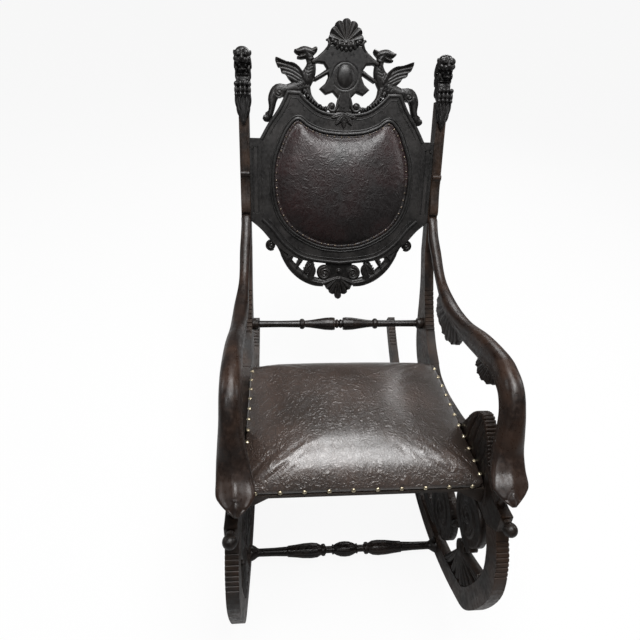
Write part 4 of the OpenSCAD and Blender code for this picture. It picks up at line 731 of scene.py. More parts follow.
# Its profile in shares of half its length and of its radius, and the ends and depth of each ring of leaves
TURNED = [(0, 1.9), (0.05, 1.8), (0.09, 1.45), (0.118, 1.1), (0.123, 1.25), (0.135, 1.25), (0.14, 0.9),
          (0.2, 0.88), (0.21, 1.1), (0.215, 1.45), (0.232, 1.55), (0.25, 1.45), (0.256, 1.25), (0.3, 1.75),
          (0.36, 1.9), (0.45, 1.8), (0.53, 1.55), (0.61, 1.4), (0.62, 1.2), (0.75, 1.05), (0.92, 1),
          (0.94, 1.2), (0.955, 1.5), (0.985, 1.9), (0.9985, 1.95)]
TURNED_HALF, TURNED_R, TURNED_AROUND = 250, 10, 48
LEAVES = [(-0.01, 0.105, 1.1), (0.27, 0.57, 1.5)]


def turned_rings(y, z):
    """Rings of the front rail, whose radius follows the turned profile. Round a bulb it gains depth times
    (|cos 3a|^0.6 - 0.6), up to leaf tips at end + 5 cos 6a millimetres, and has a vein cut into each leaf."""
    half = np.unique(np.r_[np.linspace(0, TURNED[-1][0], 190), [q[0] for q in TURNED]])
    share = np.r_[-half[:0:-1], half]
    x, r = share*TURNED_HALF, TURNED_R*np.interp(np.abs(share), *zip(*TURNED))
    far = np.abs(x)[:, None]
    a = circle(TURNED_AROUND)
    vein = 0.5*np.exp(-((np.abs(np.mod(a*3/np.pi + 0.5, 1) - 0.5))/0.08)**2)
    radius = np.repeat(r[:, None], TURNED_AROUND, 1)
    for low, high, depth in LEAVES:
        tip = np.clip((high*TURNED_HALF + 5*np.cos(6*a) - far)/2.5, 0, 1)
        root = np.clip((far - low*TURNED_HALF)/4, 0, 1)
        radius += depth*(np.abs(np.cos(3*a))**0.6 - 0.6)*tip*root
        radius -= vein*tip*root
    return np.stack([np.repeat(x[:, None], TURNED_AROUND, 1), y + radius*np.cos(a), z + radius*np.sin(a)], -1)


class CHAIR_OT_front_rail(bpy.types.Operator):
    """Turn the front rail and carve leaves round its bulbs"""
    bl_idname = "chair.front_rail"
    bl_label = "Front rail"

    def execute(self, context):
        box = points_of(NODES["front_stretcher"].data)/MM
        rings = turned_rings(*(box.min(0) + box.max(0))[1:]/2)
        new_mesh("leaf_turned_rail", rings.reshape(-1, 3), skin(rings), carving("turned_wood"),
                 ["front_stretcher"], sharp=50)
        return {"FINISHED"}


# Arms

# Stations of the right arm from back to front: Y, Z, X, half width and half height
ARM = [(225, 673, 265, 13.8, 13), (140, 636, 265, 13, 13), (45, 624, 267, 18, 17), (-65, 644, 267, 18, 23),
       (-170, 685, 266, 19, 29), (-255, 717, 262, 20, 27.5), (-293, 721, 260, 21, 28),
       (-325, 714, 259, 21, 28), (-352, 687, 259, 21, 28), (-371, 653, 259, 24, 26), (-390, 620, 257, 29, 22),
       (-418, 600, 253, 33, 16), (-444, 592, 250, 34.5, 11), (-457, 588, 248.5, 28, 8.5),
       (-468, 585, 247.5, 18, 6.5), (-480, 582, 247, 4, 3)]
ARM_TOP = [(308.6, 739.1, 263, 7.8, 3.9), (303.2, 733.2, 263, 13, 8.4), (289.5, 719.4, 263, 13, 11.2),
           (266.3, 695.5, 263.5, 14, 14)]


def arm_rings(stations, steps=9, around=56):
    """Rings of an arm and their distances to its tip: superellipses whose size follows the stations, with a
    keel between two hollows over the front and a cut lip round the tongue."""
    line = smooth(stations, steps)
    way = headings(line[:, :2])
    length = np.r_[0, np.cumsum(np.linalg.norm(np.diff(line[:, :2], axis=0), axis=1))]
    to_tip = length[-1] - length
    a = circle(around)
    c, s = np.cos(a), np.sin(a)
    rings = []
    for (y, z, x, w, h), (dy, dz), tip in zip(line, way, to_tip):
        u = np.sign(c)*np.abs(c)**0.86*w
        v = np.sign(s)*np.abs(s)**0.9*h
        u = u*(1 + 0.06*np.exp(-((s + 0.5)/0.1)**2) - 0.045*np.exp(-((s + 0.26)/0.09)**2))
        front = np.clip((150 - tip)/110, 0, 1)
        v = v + (s > 0)*front*(4.2*np.clip(1 - np.abs(u)/(0.34*w + 2), 0, 1)**1.6
                               - 1.6*np.exp(-((np.abs(u) - 0.62*w)/(0.16*w + 1))**2))
        edge = 12 + 16*np.clip(1 - np.abs(u)/(0.55*w + 1), 0, 1)
        v = v - 1.5*np.exp(-((tip - edge)/2.2)**2)*(s > 0.1)*(w > 12)
        rings.append(np.c_[x + u, y + dz*v, z - dy*v])
    return np.array(rings), to_tip


class CHAIR_OT_arms(bpy.types.Operator):
    """Sweep the two arms"""
    bl_idname = "chair.arms"
    bl_label = "Arms"

    def execute(self, context):
        rings, tip = arm_rings(ARM_TOP + ARM)
        # Most worn where hands rest, 260 mm from the tip
        worn = np.repeat(0.5 + 0.6*np.exp(-((tip - 260)/150)**2), rings.shape[1])
        for side, word in SIDES:
            new_mesh("swept_arm_" + word, rings.reshape(-1, 3)*[side, 1, 1], skin(rings), carving("arm_wood"),
                     [word + "_arm"], sharp=70, worn=worn)
        return {"FINISHED"}


# Carvings of the back

PROBE, MIDDLE = 21, 16                        # Depth at which the boards are probed, and their middle
BOSS, BOSS_W, BOSS_H = (0, 155.3), 27, 33     # The oval's middle and half axes
GRIFFIN = 145                                 # A griffin's width

# Places on the cartouche, the right griffin and the drop
cart = placer(0, 66.7, 86, 164)
grif = placer(70, 48, GRIFFIN, 172)
drop = placer(0, -338, 208, 104)


def make_cartouche():
    """Cartouche: a rolled rim along its outline, a rise to its middle, curls at its foot, arms to the
    griffins and a groove round the boss."""
    g = Ground("cartouche", on_back, PROBE, (-96, 56), (96, 236), 1.3, base=7)
    g.soften(2.6, 5)
    t = -g.out
    g.top += 2.2*np.exp(-((t - 3.4)/1.7)**2) - 1.3*np.exp(-((t - 7.4)/1.9)**2) + 1.6*np.clip((t - 9)/16, 0, 1)
    for k in (1, -1):
        c = (33.1*k, 83.9)
        g.ridge(spiral(c, 7.5, 3, 90, -300*k, 5.5, 3), 4.5, 8, 0.8)
        g.knob(c, 7, 6.5, 8)
        g.groove([(33*k, 94, 1.6), (22*k, 92, 1.6), (15*k, 84, 1.6), (14*k, 72, 1.6)], 1.2)
        g.ridge([cart(0.5*k, 0.61, 9), cart(0.93*k, 0.48, 9)], 4, 7)
    g.groove(spiral(BOSS, BOSS_H, BOSS_H, 0, 360, 2.4, 2.4), 1.1)
    g.surface("cartouche_carving", carving("carved_wood"), ["cartouche"], MIDDLE)


def make_boss():
    """Oval boss: rings of (share of the half axes, rise), a rim and a hollow round a dome."""
    a = circle(72)
    rows = [(0.98, -1.5), (1, 0), (1, 1.2), (0.975, 2.4), (0.93, 2.9), (0.885, 2.3), (0.85, 1.7), (0.82, 2.4),
            (0.74, 4.3), (0.6, 6.0), (0.42, 7.2), (0.22, 7.9), (0.05, 8.1)]
    rings = np.array([on_back(np.c_[BOSS_W*k*np.cos(a), np.full(len(a), 7 - r), BOSS[1] + BOSS_H*k*np.sin(a)])
                      for k, r in rows])
    new_mesh("boss_dome", rings.reshape(-1, 3), skin(rings), carving("carved_wood"), ["oval_boss"], sharp=75)


def make_shell():
    """Shell: nine ribbed lobes that fan out from its root to an ellipse, over five small curls."""
    g = Ground("shell_crest", on_back, PROBE, (-58, 222), (58, 296), 1.0, base=6)
    g.soften(1.5, 3)
    for i in range(9):
        a = math.radians(90 + (i - 4)*25.5)
        reach = 1/math.hypot(math.cos(a)/46, math.sin(a)/54)
        line = ray(np.array([0, 233.7]), heading(a)*reach,
                   ((0.06, 3), (0.3, 8), (0.6, 14), (0.85, 18), (1.02, 17)))
        g.ridge(line, 5.5, 7 - 0.15*abs(i - 4), 0.8)
        g.ridge(line*[1, 1, 0.3], 1.6, 11.2, 0.8)
    for i in range(5):
        t = i/4 - 0.5
        c = (t*69, 230.7 + 6*(0.2 + 3*t*t))
        g.knob(c, 12.5, 7, 7)
        g.groove(spiral(c, 4.2, 1.2, 200, 420, 1.3, 0.9, 30), 1.5)
    g.surface("shell_carving", carving("carved_wood"), ["shell_crest"], MIDDLE)


def make_curls():
    """Curls from the cartouche's foot round the two balls, rolled shoulders beside the shell, and flared
    struts to the griffins."""
    foot = [(11, 6, 116, 2.2), (14.5, 5, 104, 3.0), (18, 4.5, 92, 3.4), (20, 4, 81, 3.6), (25, 3.5, 73, 3.8),
            (33.5, 3, 71, 4.0), (40.5, 3.5, 76, 3.8), (43, 4.5, 84, 2.6)]
    shoulder = [(52, 7, 206, 1.5), (47, 5, 219, 3.0), (43, 4.5, 229, 3.8), (47, 5, 237, 3.4),
                (52, 7, 236, 2.0)]
    strut = [(42, 14, 168, 6.4), (50, 12.5, 163.5, 6), (62, 12, 156.5, 5), (75, 11, 149, 4.4),
             (84, 11, 143, 3.4)]
    stems("cartouche_curls", [foot, shoulder, strut], "carved_wood")


def make_beads():
    """Row of beads under the shell, and bands of small overlapping leaves along the panel's concave top."""
    b = [blob((11.2*(i - 2.5), 2.5, 225 + 0.9*(i - 2.5)**2), (6.2, 6.5, 6.6), n=10) for i in range(6)]
    b += [blob((11.2*(i - 2), 4, 217 + 1.4*(i - 2)**2), (5.2, 4.5, 6.5), n=10) for i in range(5)]
    path = smooth([(44, 75), (56, 77), (70, 83), (84, 92), (97, 104), (106, 117)], 4)
    for k in (1, -1):
        for i, (x, s) in enumerate(path[::2]):
            turn = 0.9 + 0.5*(-1)**i
            b.append(blob((k*(x - 1.5), 3 + 0.8*(-1)**i, s + 2.5), (2.6, 4.5, 5.6), -k*turn, n=8))
            b.append(blob((k*(x + 1), 1, s - 1), (2.4, 3.2, 4.8), k*(0.3 + 0.3*(-1)**i), n=8))
    sculpt("crest_beads", b, 1.0, 2, both=False)


def make_spray():
    """Leaf spray: five leaves that hang from the top, the middle one foremost, with veins cut in."""
    g = Ground("leaf_spray", on_back, 1, (-44, 24), (44, 72), 0.9, base=1.0)
    root, length, width = np.array([0, 66.0]), 36, 15
    swell = ((0, 0.3), (0.3, 0.84), (0.6, 1.0), (0.85, 0.7), (1, 0.2))
    for i, turn in enumerate((-72, 72, -38, 38, 0)):
        a = math.radians(turn - 90)
        way, side = heading(a), np.array([-math.sin(a), math.cos(a)])
        g.ridge(ray(root, way*length, [(t, width*w) for t, w in swell]), 3.2 + 0.3*i, 1.0)
        g.groove([np.r_[root + way*l, 1.6] for l in (3, 18, 32)], 1.3)
        for k in (1, -1):
            for l in (10, 17, 24):
                g.groove([np.r_[root + way*l, 1.0], np.r_[root + way*(l + 5) + side*k*5, 0.8]], 0.7)
    g.surface("spray_carving", carving("carved_wood"), ["leaf_spray"], 3, back=0.0)


def make_griffins():
    """Griffin: ridges for the body, the beak, the jaw, the ear, the leg, the foot and the wing's feathers,
    knobs down the leg, and grooves for the plumage, the curl on the haunch and the eye."""
    g = Ground("right_griffin", on_back, 11.5, (38, 40), (222, 226), 1.1, base=5)
    g.soften(2.0, 4)
    body = [grif(a, b, w*GRIFFIN) for a, b, w in (
        (0.2, 0.93, 0.12), (0.13, 0.82, 0.14), (0.16, 0.66, 0.22), (0.31, 0.48, 0.27), (0.52, 0.42, 0.2),
        (0.7, 0.4, 0.22), (0.81, 0.3, 0.17), (0.83, 0.16, 0.1), (0.87, 0.05, 0.09))]
    g.ridge(smooth(body, 5), 6.5, 6)
    for rows, rise, low in (
            (((0.1, 0.93, 13), (0.24, 0.955, 15), (0.35, 0.94, 9), (0.43, 0.955, 3)), 6, 7),
            (((0.2, 0.9, 10), (0.3, 0.87, 7), (0.38, 0.86, 3)), 5, 6),
            (((0.14, 0.94, 9), (0.06, 0.975, 8), (0.02, 0.995, 4)), 5, 8),
            (((0.22, 0.5, 20), (0.15, 0.34, 15), (0.04, 0.23, 12), (-0.08, 0.16, 11), (-0.18, 0.15, 8)),
             5.5, 6),
            (((0.84, 0.07, 16), (0.93, 0.02, 17), (1.0, 0.04, 9)), 5, 6)):
        g.ridge(smooth([grif(*r) for r in rows], 4), rise, low)
    for rows in (((0.3, 0.50), (0.45, 0.56), (0.55, 0.60)), ((0.28, 0.53), (0.46, 0.61), (0.63, 0.655)),
                 ((0.26, 0.56), (0.45, 0.655), (0.675, 0.71)), ((0.25, 0.6), (0.46, 0.71), (0.73, 0.77))):
        line = smooth([grif(a, b, w) for (a, b), w in zip(rows, (8, 11, 7))], 4)
        g.ridge(line, 4.2, 8.2, 0.8)
        g.groove(line*[1, 1, 0.13], 0.9)
    wing = smooth([grif(0.22, 0.56, 16), grif(0.31, 0.7, 15), grif(0.43, 0.775, 12), grif(0.58, 0.8, 9),
                   grif(0.77, 0.85, 6)], 5)
    g.ridge(wing, 6.5, 9)
    for i in range(8):
        a = wing[3 + 2*i]
        g.groove([(a[0] - 3, a[1] + 4, 1.2), (a[0] + 4, a[1] - 5, 1.0)], 0.9)
    haunch = grif(0.7, 0.37)
    g.knob(haunch, 34, 6, 7.5, 0.7)
    g.groove(spiral(haunch, 11, 2, 40, -480, 3, 1.6), 2.2)
    for i in range(6):
        c = grif(0.15 + 0.005*i, 0.86 - 0.045*i)
        g.groove([(c[0] - 9, c[1] + 4, 1.3), (c[0] + 1, c[1] - 1, 1.3), (c[0] + 9, c[1] + 4, 1.3)], 1.2)
    for i in range(7):
        g.knob(grif(0.12 - 0.03*i, 0.31 - 0.022*i), 6, 3.5, 8.5, 0.7)
    for a, b, n in ((0.30, 0.56, 4), (0.27, 0.50, 5), (0.30, 0.44, 5), (0.38, 0.39, 4)):
        for i in range(n):
            c = grif(a + 0.055*(i - n/2), b - 0.012*i)
            g.groove([(c[0] - 3.4, c[1] + 3.4, 1.2), (c[0], c[1] - 2.2, 1.5),
                      (c[0] + 3.4, c[1] + 3.4, 1.2)], 1.3)
    for i in range(5):
        c = grif(0.56 + 0.075*i, 0.47 - 0.028*i)
        g.groove([(c[0] - 4, c[1] + 5, 1.1), (c[0] + 1, c[1] - 3, 1.6)], 1.2)
        c = grif(0.865 + 0.012*i, 0.26 - 0.045*i)
        g.groove([(c[0] - 6, c[1] + 1, 1.2), (c[0] + 5, c[1] - 1, 1.2)], 0.9)
    eye = grif(0.235, 0.945)
    g.groove(spiral(eye, 2.6, 2.6, 0, 360, 1.0, 1.0, 20), 0.9)
    g.surface("griffin_carving", carving("carved_wood"), ["right_griffin"], MIDDLE, mirror=True)


def make_drop():
    """Drop: on each side a grooved stem with three leaves, a disc under a volute and a small curl, and below
    the middle a shell of seven ribbed lobes."""
    g = Ground("bottom_drop", on_back, PROBE, (-212, -450), (212, -262), 1.3, base=5)
    g.soften(2, 3.5)
    stem = smooth([drop(*r) for r in (
        (0.923, 0.615, 8), (0.856, 0.596, 10), (0.798, 0.442, 14), (0.76, 0.25, 18), (0.654, -0.077, 22),
        (0.51, -0.346, 22), (0.346, -0.5, 22), (0.21, -0.54, 20))], 5)
    way, bend = headings(stem[:, :2]), 14
    for k in (1, -1):
        m = np.array([k, 1, 1])
        g.ridge(stem*m, 5, 6)
        for off in (-0.2, 0.2):
            side = stem.copy()
            side[:, :2] += np.c_[way[:, 1], -way[:, 0]]*(stem[:, 2]*off)[:, None]
            side[:, 2] *= 0.13
            g.groove(side*m, 1.4)
        for root, angle, length, width in ((drop(0.471, -0.27), 118, 47, 21), (drop(0.4, -0.44), 98, 44, 26),
                                           (drop(0.7, 0.04), 113, 32, 13)):
            line = leaf_line(root, angle, length, width, bend)
            g.ridge(line*m, 4.5, 7, 0.6)
            g.groove(line[:-1]*[1, 1, 0.1]*m, 1.4)
            for j in range(1, 8):
                a = math.radians(angle + bend*j/8)
                for s in (1, -1):
                    tip = line[j, :2] + 0.5*width*heading(a + 0.7*s)
                    g.groove(np.array([np.r_[line[j, :2], 1.1], np.r_[tip, 1.6]])*m, 1.2)
        c = np.array(drop(0.2, -0.25))*[k, 1]
        g.knob(c, 43, 2, 6.5, 0.3)
        g.ridge(spiral(c, 18.5, 5, 90, -620*k, 8, 4, 90), 4.5, 8)
        g.knob(c, 9, 5.5, 8)
        c = np.array(drop(0.942, 0.51))*[k, 1]
        g.ridge(spiral(c, 9, 3, 120 if k > 0 else 60, -420*k, 6, 3.5), 4, 8)
        g.knob(c, 7, 5.5, 8)
    root = np.array(drop(0, -0.365))
    for i, l in enumerate((50, 50, 55, 66, 55, 50, 50)):
        way = heading(math.radians((i - 3)*22 - 90))
        line = ray(root, way*l, ((0.05, 3), (0.35, 8), (0.7, 13), (0.92, 15), (1.02, 13)))
        g.ridge(line, 5, 8 - 0.2*abs(i - 3), 0.8)
        g.ridge(line*[1, 1, 0.28], 1.4, 11.4, 0.8)
    g.knob((0, -358), 13, 6, 8)
    g.surface("drop_carving", carving("carved_wood"), ["bottom_drop"], MIDDLE)


def make_drop_leaves():
    """Rounded stems over the drop's outer edge, from the scroll ends inward, and lobed leaves that spring
    from them."""
    stem = [(188, 13, -296, 2.4), (198, 12.5, -297.5, 3.4), (206.5, 12, -290, 4.0), (206, 12, -279, 4.4),
            (197, 12, -272, 4.8), (186, 12, -273.5, 5.4), (175, 12, -284, 6.0), (164, 12, -303, 6.8),
            (150, 12, -327, 7.8), (129, 12, -353, 8.6), (102, 12, -375, 8.8), (72, 12.5, -389, 8.0),
            (44, 13, -396, 6.5)]
    stems("drop_stems", [stem], "carved_wood")
    b = []
    for k in (1, -1):
        for root, angle, length, width in (((106, -367), 116, 44, 10), ((124, -352), 104, 36, 9),
                                           ((88, -378), 92, 40, 11), ((150, -330), 112, 26, 7)):
            for j in range(6):
                t = (j + 0.6)/6
                a = math.radians(angle + 16*t)
                c = np.array(root) + length*t*heading(a)
                w = width*math.sin(math.pi*(0.15 + 0.75*t))
                b.append(blob((k*c[0], 7 - 2*math.sin(math.pi*t), c[1]), (2.2, 3.2, 6),
                              k*(a - math.pi/2), n=8))
                for e in (1, -1):
                    way = a + 0.75*e
                    at = c + 0.55*w*heading(way)
                    b.append(blob((k*at[0], 8.5, at[1]), (2.5, 3.4, 2 + 0.55*w), k*(way - math.pi/2), n=8))
    sculpt("drop_leaves", b, 1.0, 2, both=False)


STILE = 263     # Across to the middle of a stile


def make_paw_leaf():
    """Hanging leaf under a lion's paw, on the front of a stile."""
    g = Ground("right_paw_leaf", on_back, -5, (240, 28), (286, 134), 0.8, base=7)
    g.soften(1.4, 4)
    g.ridge(smooth([(STILE, 108, 34), (STILE, 84, 36), (STILE, 60, 27), (STILE, 38, 14)], 4), 3.4, 8, 0.6)
    for k in (-1, 1):
        g.ridge(smooth([(STILE + 15*k, 104, 10), (STILE + 15.5*k, 84, 11), (STILE + 9*k, 60, 8),
                        (STILE + 4*k, 44, 4)], 4), 2.6, 9)
        g.groove(smooth([(STILE + 8*k, 100, 1.6), (STILE + 9*k, 82, 2.2), (STILE + 5*k, 60, 1.8),
                         (STILE + 1.5*k, 42, 1)], 4), 1.5)
    g.groove(smooth([(STILE, 92, 1.2), (STILE + 0.5, 66, 1.4), (STILE, 44, 1.0)], 4), 0.8)
    g.surface("paw_and_leaf", carving("carved_wood"), ["right_paw_leaf"], 0, back=0.0, mirror=True)


# Sculpted pieces, from blobs on the back's own axes

def blob(c, r, turn=0.0, n=14):
    """Points of an ellipsoid with centre c and half axes r in (across, depth, height), turned in the plane of
    across and height."""
    u, v = np.meshgrid(circle(2*n), np.linspace(-np.pi/2, np.pi/2, n), indexing="xy")
    p = np.stack([r[0]*np.cos(v)*np.cos(u), r[1]*np.cos(v)*np.sin(u), r[2]*np.sin(v)], -1)
    k, s = math.cos(turn), math.sin(turn)
    return np.stack([p[..., 0]*k - p[..., 2]*s, p[..., 1], p[..., 0]*s + p[..., 2]*k], -1) + np.array(c)


def sculpt(name, blobs, voxel, times, nodes=(), both=True):
    """Blobs joined through an even voxel mesh and smoothed, and mirrored for the left side where both sides
    have one."""
    points, faces = joined([(b, 1) for b in blobs])
    me = bpy.data.meshes.new(name)
    me.from_pydata((on_back(points)*MM).tolist(), [], faces)
    me.validate()
    o = bpy.data.objects.new(name, me)
    bpy.context.scene.collection.objects.link(o)
    even_out(o, voxel, times)
    done = applied(o)
    bpy.data.objects.remove(o)
    p, f = points_of(done)/MM, [list(q.vertices) for q in done.polygons]
    for side, word in (SIDES if both else SIDES[:1]):
        new_mesh(f"{name}_{word}" if both else name, p*[side, 1, 1], f, carving("carved_wood"),
                 [n.replace("right", word) for n in nodes], "carved_wood", sharp=120)


def make_lions():
    """Lion's head: a domed skull, two round brows with a ridged nose between them, a muzzle over an open
    mouth, a folded neck, and locks of mane at the sides and back. Under it a paw of four toes on a leaf."""
    x = STILE
    b = [blob((x, 13, 190), (21, 26, 23)), blob((x, 9, 203), (18, 20, 12.5)),
         blob((x, 17, 150), (18, 19, 34)), blob((x, 12, 130), (18.5, 18, 12)),
         blob((x, 18, 116), (16.5, 19, 17)), blob((x, -15, 189), (4.2, 8, 9)),
         blob((x, -25, 183), (6.4, 4.5, 4)), blob((x, -8, 160), (10, 11, 4)),
         blob((x, -15, 159), (6, 6, 3.4)), blob((x, 0, 150), (17.5, 6, 2.6)),
         blob((x, 3, 140), (15, 5, 7)), blob((x, 3, 170), (11, 8, 10))]
    for k in (1, -1):
        b += [blob((x + 10.8*k, -8, 197), (11.2, 10.5, 8.6), -0.5*k),
              blob((x + 9*k, -14, 192.5), (5, 4.6, 3.6), -0.4*k),
              blob((x + 7*k, -16.5, 179.5), (8, 10, 7.2)), blob((x + 15*k, -6, 184), (7.5, 9, 7), 0.5*k),
              blob((x + 20.5*k, 7, 201), (2.8, 5, 6)), blob((x + 15.5*k, 1, 163), (4.6, 8, 9))]
        for row, d in enumerate((6, 15, 24, 34)):
            for i in range(3):
                s = 186 - 24*i - 6*(row % 2)
                b.append(blob((x + (19.6 - 1.5*abs(row - 1.2) - 1.6*i)*k, d + 2*math.sin(2*i), s),
                              (3, 5.4, 15), (0.08 + 0.08*math.sin(2*i + row))*k))
    for row in range(5):
        for i in range(3):
            b.append(blob((x + (i - 1)*10 + (row % 2)*4, 34.5, 188 - 16*row), (6, 3.6, 11), 0.12*(i - 1)))
    sculpt("lion", b, 1.1, 4, ["right_lion_head"])
    b = [blob((x, -4, 112), (20, 8, 17)), blob((x, -6, 126), (20, 9, 6.5)), blob((x, -7, 64), (10, 4.5, 32))]
    for k in (1, -1):
        b += [blob((x + 15*k, -5, 88), (6.5, 6, 19), -0.06*k),
              blob((x + 13*k, -4, 66), (4.6, 5, 15), -0.16*k),
              blob((x + 8*k, -9, 84), (3.2, 4, 19), -0.05*k)]
    for i in range(4):
        c, low = x + 10.9*(i - 1.5), 1.4*abs(i - 1.5)
        b += [blob((c, -13, 128 - low), (5.6, 7, 6.6)), blob((c, -12.5, 114 - low), (5.0, 6, 11)),
              blob((c, -13.5, 103 - low), (4.7, 5.8, 5.4)), blob((c, -15.5, 97 - low), (1.7, 2.4, 4.6))]
    sculpt("paw", b, 0.9, 3)


class CHAIR_OT_crest(bpy.types.Operator):
    """Carve the cartouche, its boss, the shell, the leaf spray and the griffins"""
    bl_idname = "chair.crest"
    bl_label = "Crest"

    def execute(self, context):
        for make in (make_cartouche, make_boss, make_shell, make_curls, make_beads, make_spray,
                     make_griffins):
            make()
        return {"FINISHED"}


class CHAIR_OT_drop(bpy.types.Operator):
    """Carve the pierced drop under the panel"""
    bl_idname = "chair.drop"
    bl_label = "Drop"

    def execute(self, context):
        make_drop()
        make_drop_leaves()
        return {"FINISHED"}


class CHAIR_OT_lions(bpy.types.Operator):
    """Sculpt the lion heads and carve the paws and leaves under them"""
    bl_idname = "chair.lions"
    bl_label = "Lions"

    def execute(self, context):
        make_lions()
        make_paw_leaf()
        return {"FINISHED"}


# Carvings of the side frames

FRAME_PROBE, FRAME_MIDDLE = 3.5, 13     # Depths at which the frames' boards are probed, and their middle

# Places on a side rail and its plume, in the fretwork under it, and under the arm
rail = placer(RAIL_Y, RAIL_Z, -RAIL_LENGTH, 176)
fret = placer(RAIL_Y, 0, -RAIL_LENGTH, 342.1)
under_arm = placer(RAIL_Y, RAIL_Z, -RAIL_LENGTH, 332)


def make_plumes():
    """Plume at the front of each side rail: six bent reeds with deep grooves between them, and a line along
    the rail."""
    g = Ground("right_side_rail", on_side, FRAME_PROBE, (-476, 350), (34, 600), 1.7, base=12)
    g.soften(0.8, 2)
    rows = (((0.60, 0.12), (0.565, 0.50), (0.575, 0.86)), ((0.645, 0.12), (0.61, 0.50), (0.612, 0.93)),
            ((0.69, 0.14), (0.66, 0.50), (0.65, 0.93)), ((0.74, 0.16), (0.715, 0.48), (0.70, 0.84)),
            ((0.80, 0.18), (0.775, 0.42), (0.755, 0.72)), ((0.87, 0.2), (0.835, 0.38), (0.80, 0.58)))
    for row in rows:
        line = smooth([rail(a, b, w) for (a, b), w in zip(row, (7, 20, 13))], 6)
        g.ridge(line, 3.4, 11.6, 0.9)
    for one, two in zip(rows[:-1], rows[1:]):
        g.groove(smooth([rail((a[0] + b[0])/2, (a[1] + b[1])/2, 4.2) for a, b in zip(one, two)], 6), 5.0)
    g.groove(smooth([rail(*r, 2.6) for r in ((0.03, -0.02), (0.2, -0.06), (0.332, 0.03), (0.45, 0.14),
                                             (0.52, 0.3))], 6), 1.4)
    g.surface("plume_carving", carving("frame_wood"), ["right_side_rail"], FRAME_MIDDLE, both=True,
              mirror=True)


# The plume's outer edge, and depths and sizes along a reed
PLUME = [(0.53, 0.62), (0.56, 0.82), (0.6, 0.96), (0.645, 1), (0.72, 0.87), (0.798, 0.63)]
REED = [(0.6, 0.2), (1.2, 0.75), (2.6, 1), (13, 1.06), (23.4, 1), (24.8, 0.75), (25.4, 0.2)]
REED_W, REED_H, REED_STEP = 3.5, 2.6, 8.2


def make_reeds():
    """Reeds across the plume's thick edge: half-round bars with rounded ends, evenly along the outline."""
    line = smooth([rail(*s) for s in PLUME], 20)
    gone = np.r_[0, np.cumsum(np.linalg.norm(np.diff(line, axis=0), axis=1))]
    way = headings(line)
    a = circle(12)
    bars = []
    for far in np.arange(10, gone[-1] - 4, REED_STEP):
        c = [np.interp(far, gone, line[:, i]) for i in (0, 1)]
        w = [np.interp(far, gone, way[:, i]) for i in (0, 1)]
        along, out = REED_W*np.cos(a), REED_H*np.sin(a)
        bars.append(np.array([on_side(np.c_[c[0] + size*(along*w[0] + out*w[1]), np.full(len(a), d),
                                            c[1] + size*(along*w[1] - out*w[0])]) for d, size in REED]))
    for side, word in SIDES:
        new_mesh("plume_reeds_" + word, *joined([(bar*[side, 1, 1], side) for bar in bars]),
                 carving("frame_wood"), slot="frame_wood")


# For each leaf under an arm: its root and the tips of its lobes
ARM_LEAVES = (((0.02, 0.74), ((-0.19, 0.54), (-0.165, 0.46), (-0.12, 0.42), (-0.06, 0.395), (0.0, 0.385),
                              (0.05, 0.395), (0.1, 0.43), (0.14, 0.47), (0.18, 0.53))),
              ((0.53, 0.93), ((0.41, 0.67), (0.44, 0.635), (0.475, 0.64), (0.515, 0.67), (0.545, 0.69),
                              (0.575, 0.74))))


def make_arm_leaves():
    """Leaves under the arms: lobes fan out from a root in the arm to the scalloped edge, each with a vein."""
    g = Ground("right_arm_leaf", on_side, 9.9, (-304, 536), (134, 708), 1.5, base=5.4)
    g.soften(1.0, 3)
    for root, tips in ARM_LEAVES:
        root = np.array(under_arm(*root))
        for tip in tips:
            line = ray(root, np.array(under_arm(*tip)) - root, ((0.2, 6), (0.6, 15), (0.9, 19), (1.02, 16)))
            g.ridge(line, 3.0, 5.6, 0.8)
            g.groove(line*[1, 1, 0.13], 1.4)
    g.surface("arm_leaf_carving", carving("arm_wood"), ["right_arm_leaf"], 9.9, both=True, mirror=True)


def make_front_scrolls():
    """Front volute: a ridge and a groove that wind in to a knob, and a grooved lobe beside it."""
    c = fret(0.804, 1.015)
    g = Ground("right_front_scroll", on_side, FRAME_PROBE, (-465, 255), (-270, 430), 1.5, base=9)
    g.soften(1.5, 3)
    g.ridge(spiral(c, 58, 10, 60, -620, 24, 9, 120), 4.5, 9, 0.8)
    g.knob(c, 17, 6, 9)
    g.groove(spiral(c, 58, 14, 60, -560, 2.6, 1.4, 110), 1.3)
    lobe = smooth([fret(0.80, 0.93, 30), fret(0.86, 0.87, 34), fret(0.915, 0.835, 14)], 5)
    g.ridge(lobe, 4, 9.5)
    for k in (-0.25, 0, 0.25):
        side = lobe.copy()
        side[:, 1] += side[:, 2]*k
        side[:, 2] = 2
        g.groove(side, 1.4)
    g.surface("front_volute", carving("frame_wood"), ["right_front_scroll"], FRAME_MIDDLE, both=True,
              mirror=True)


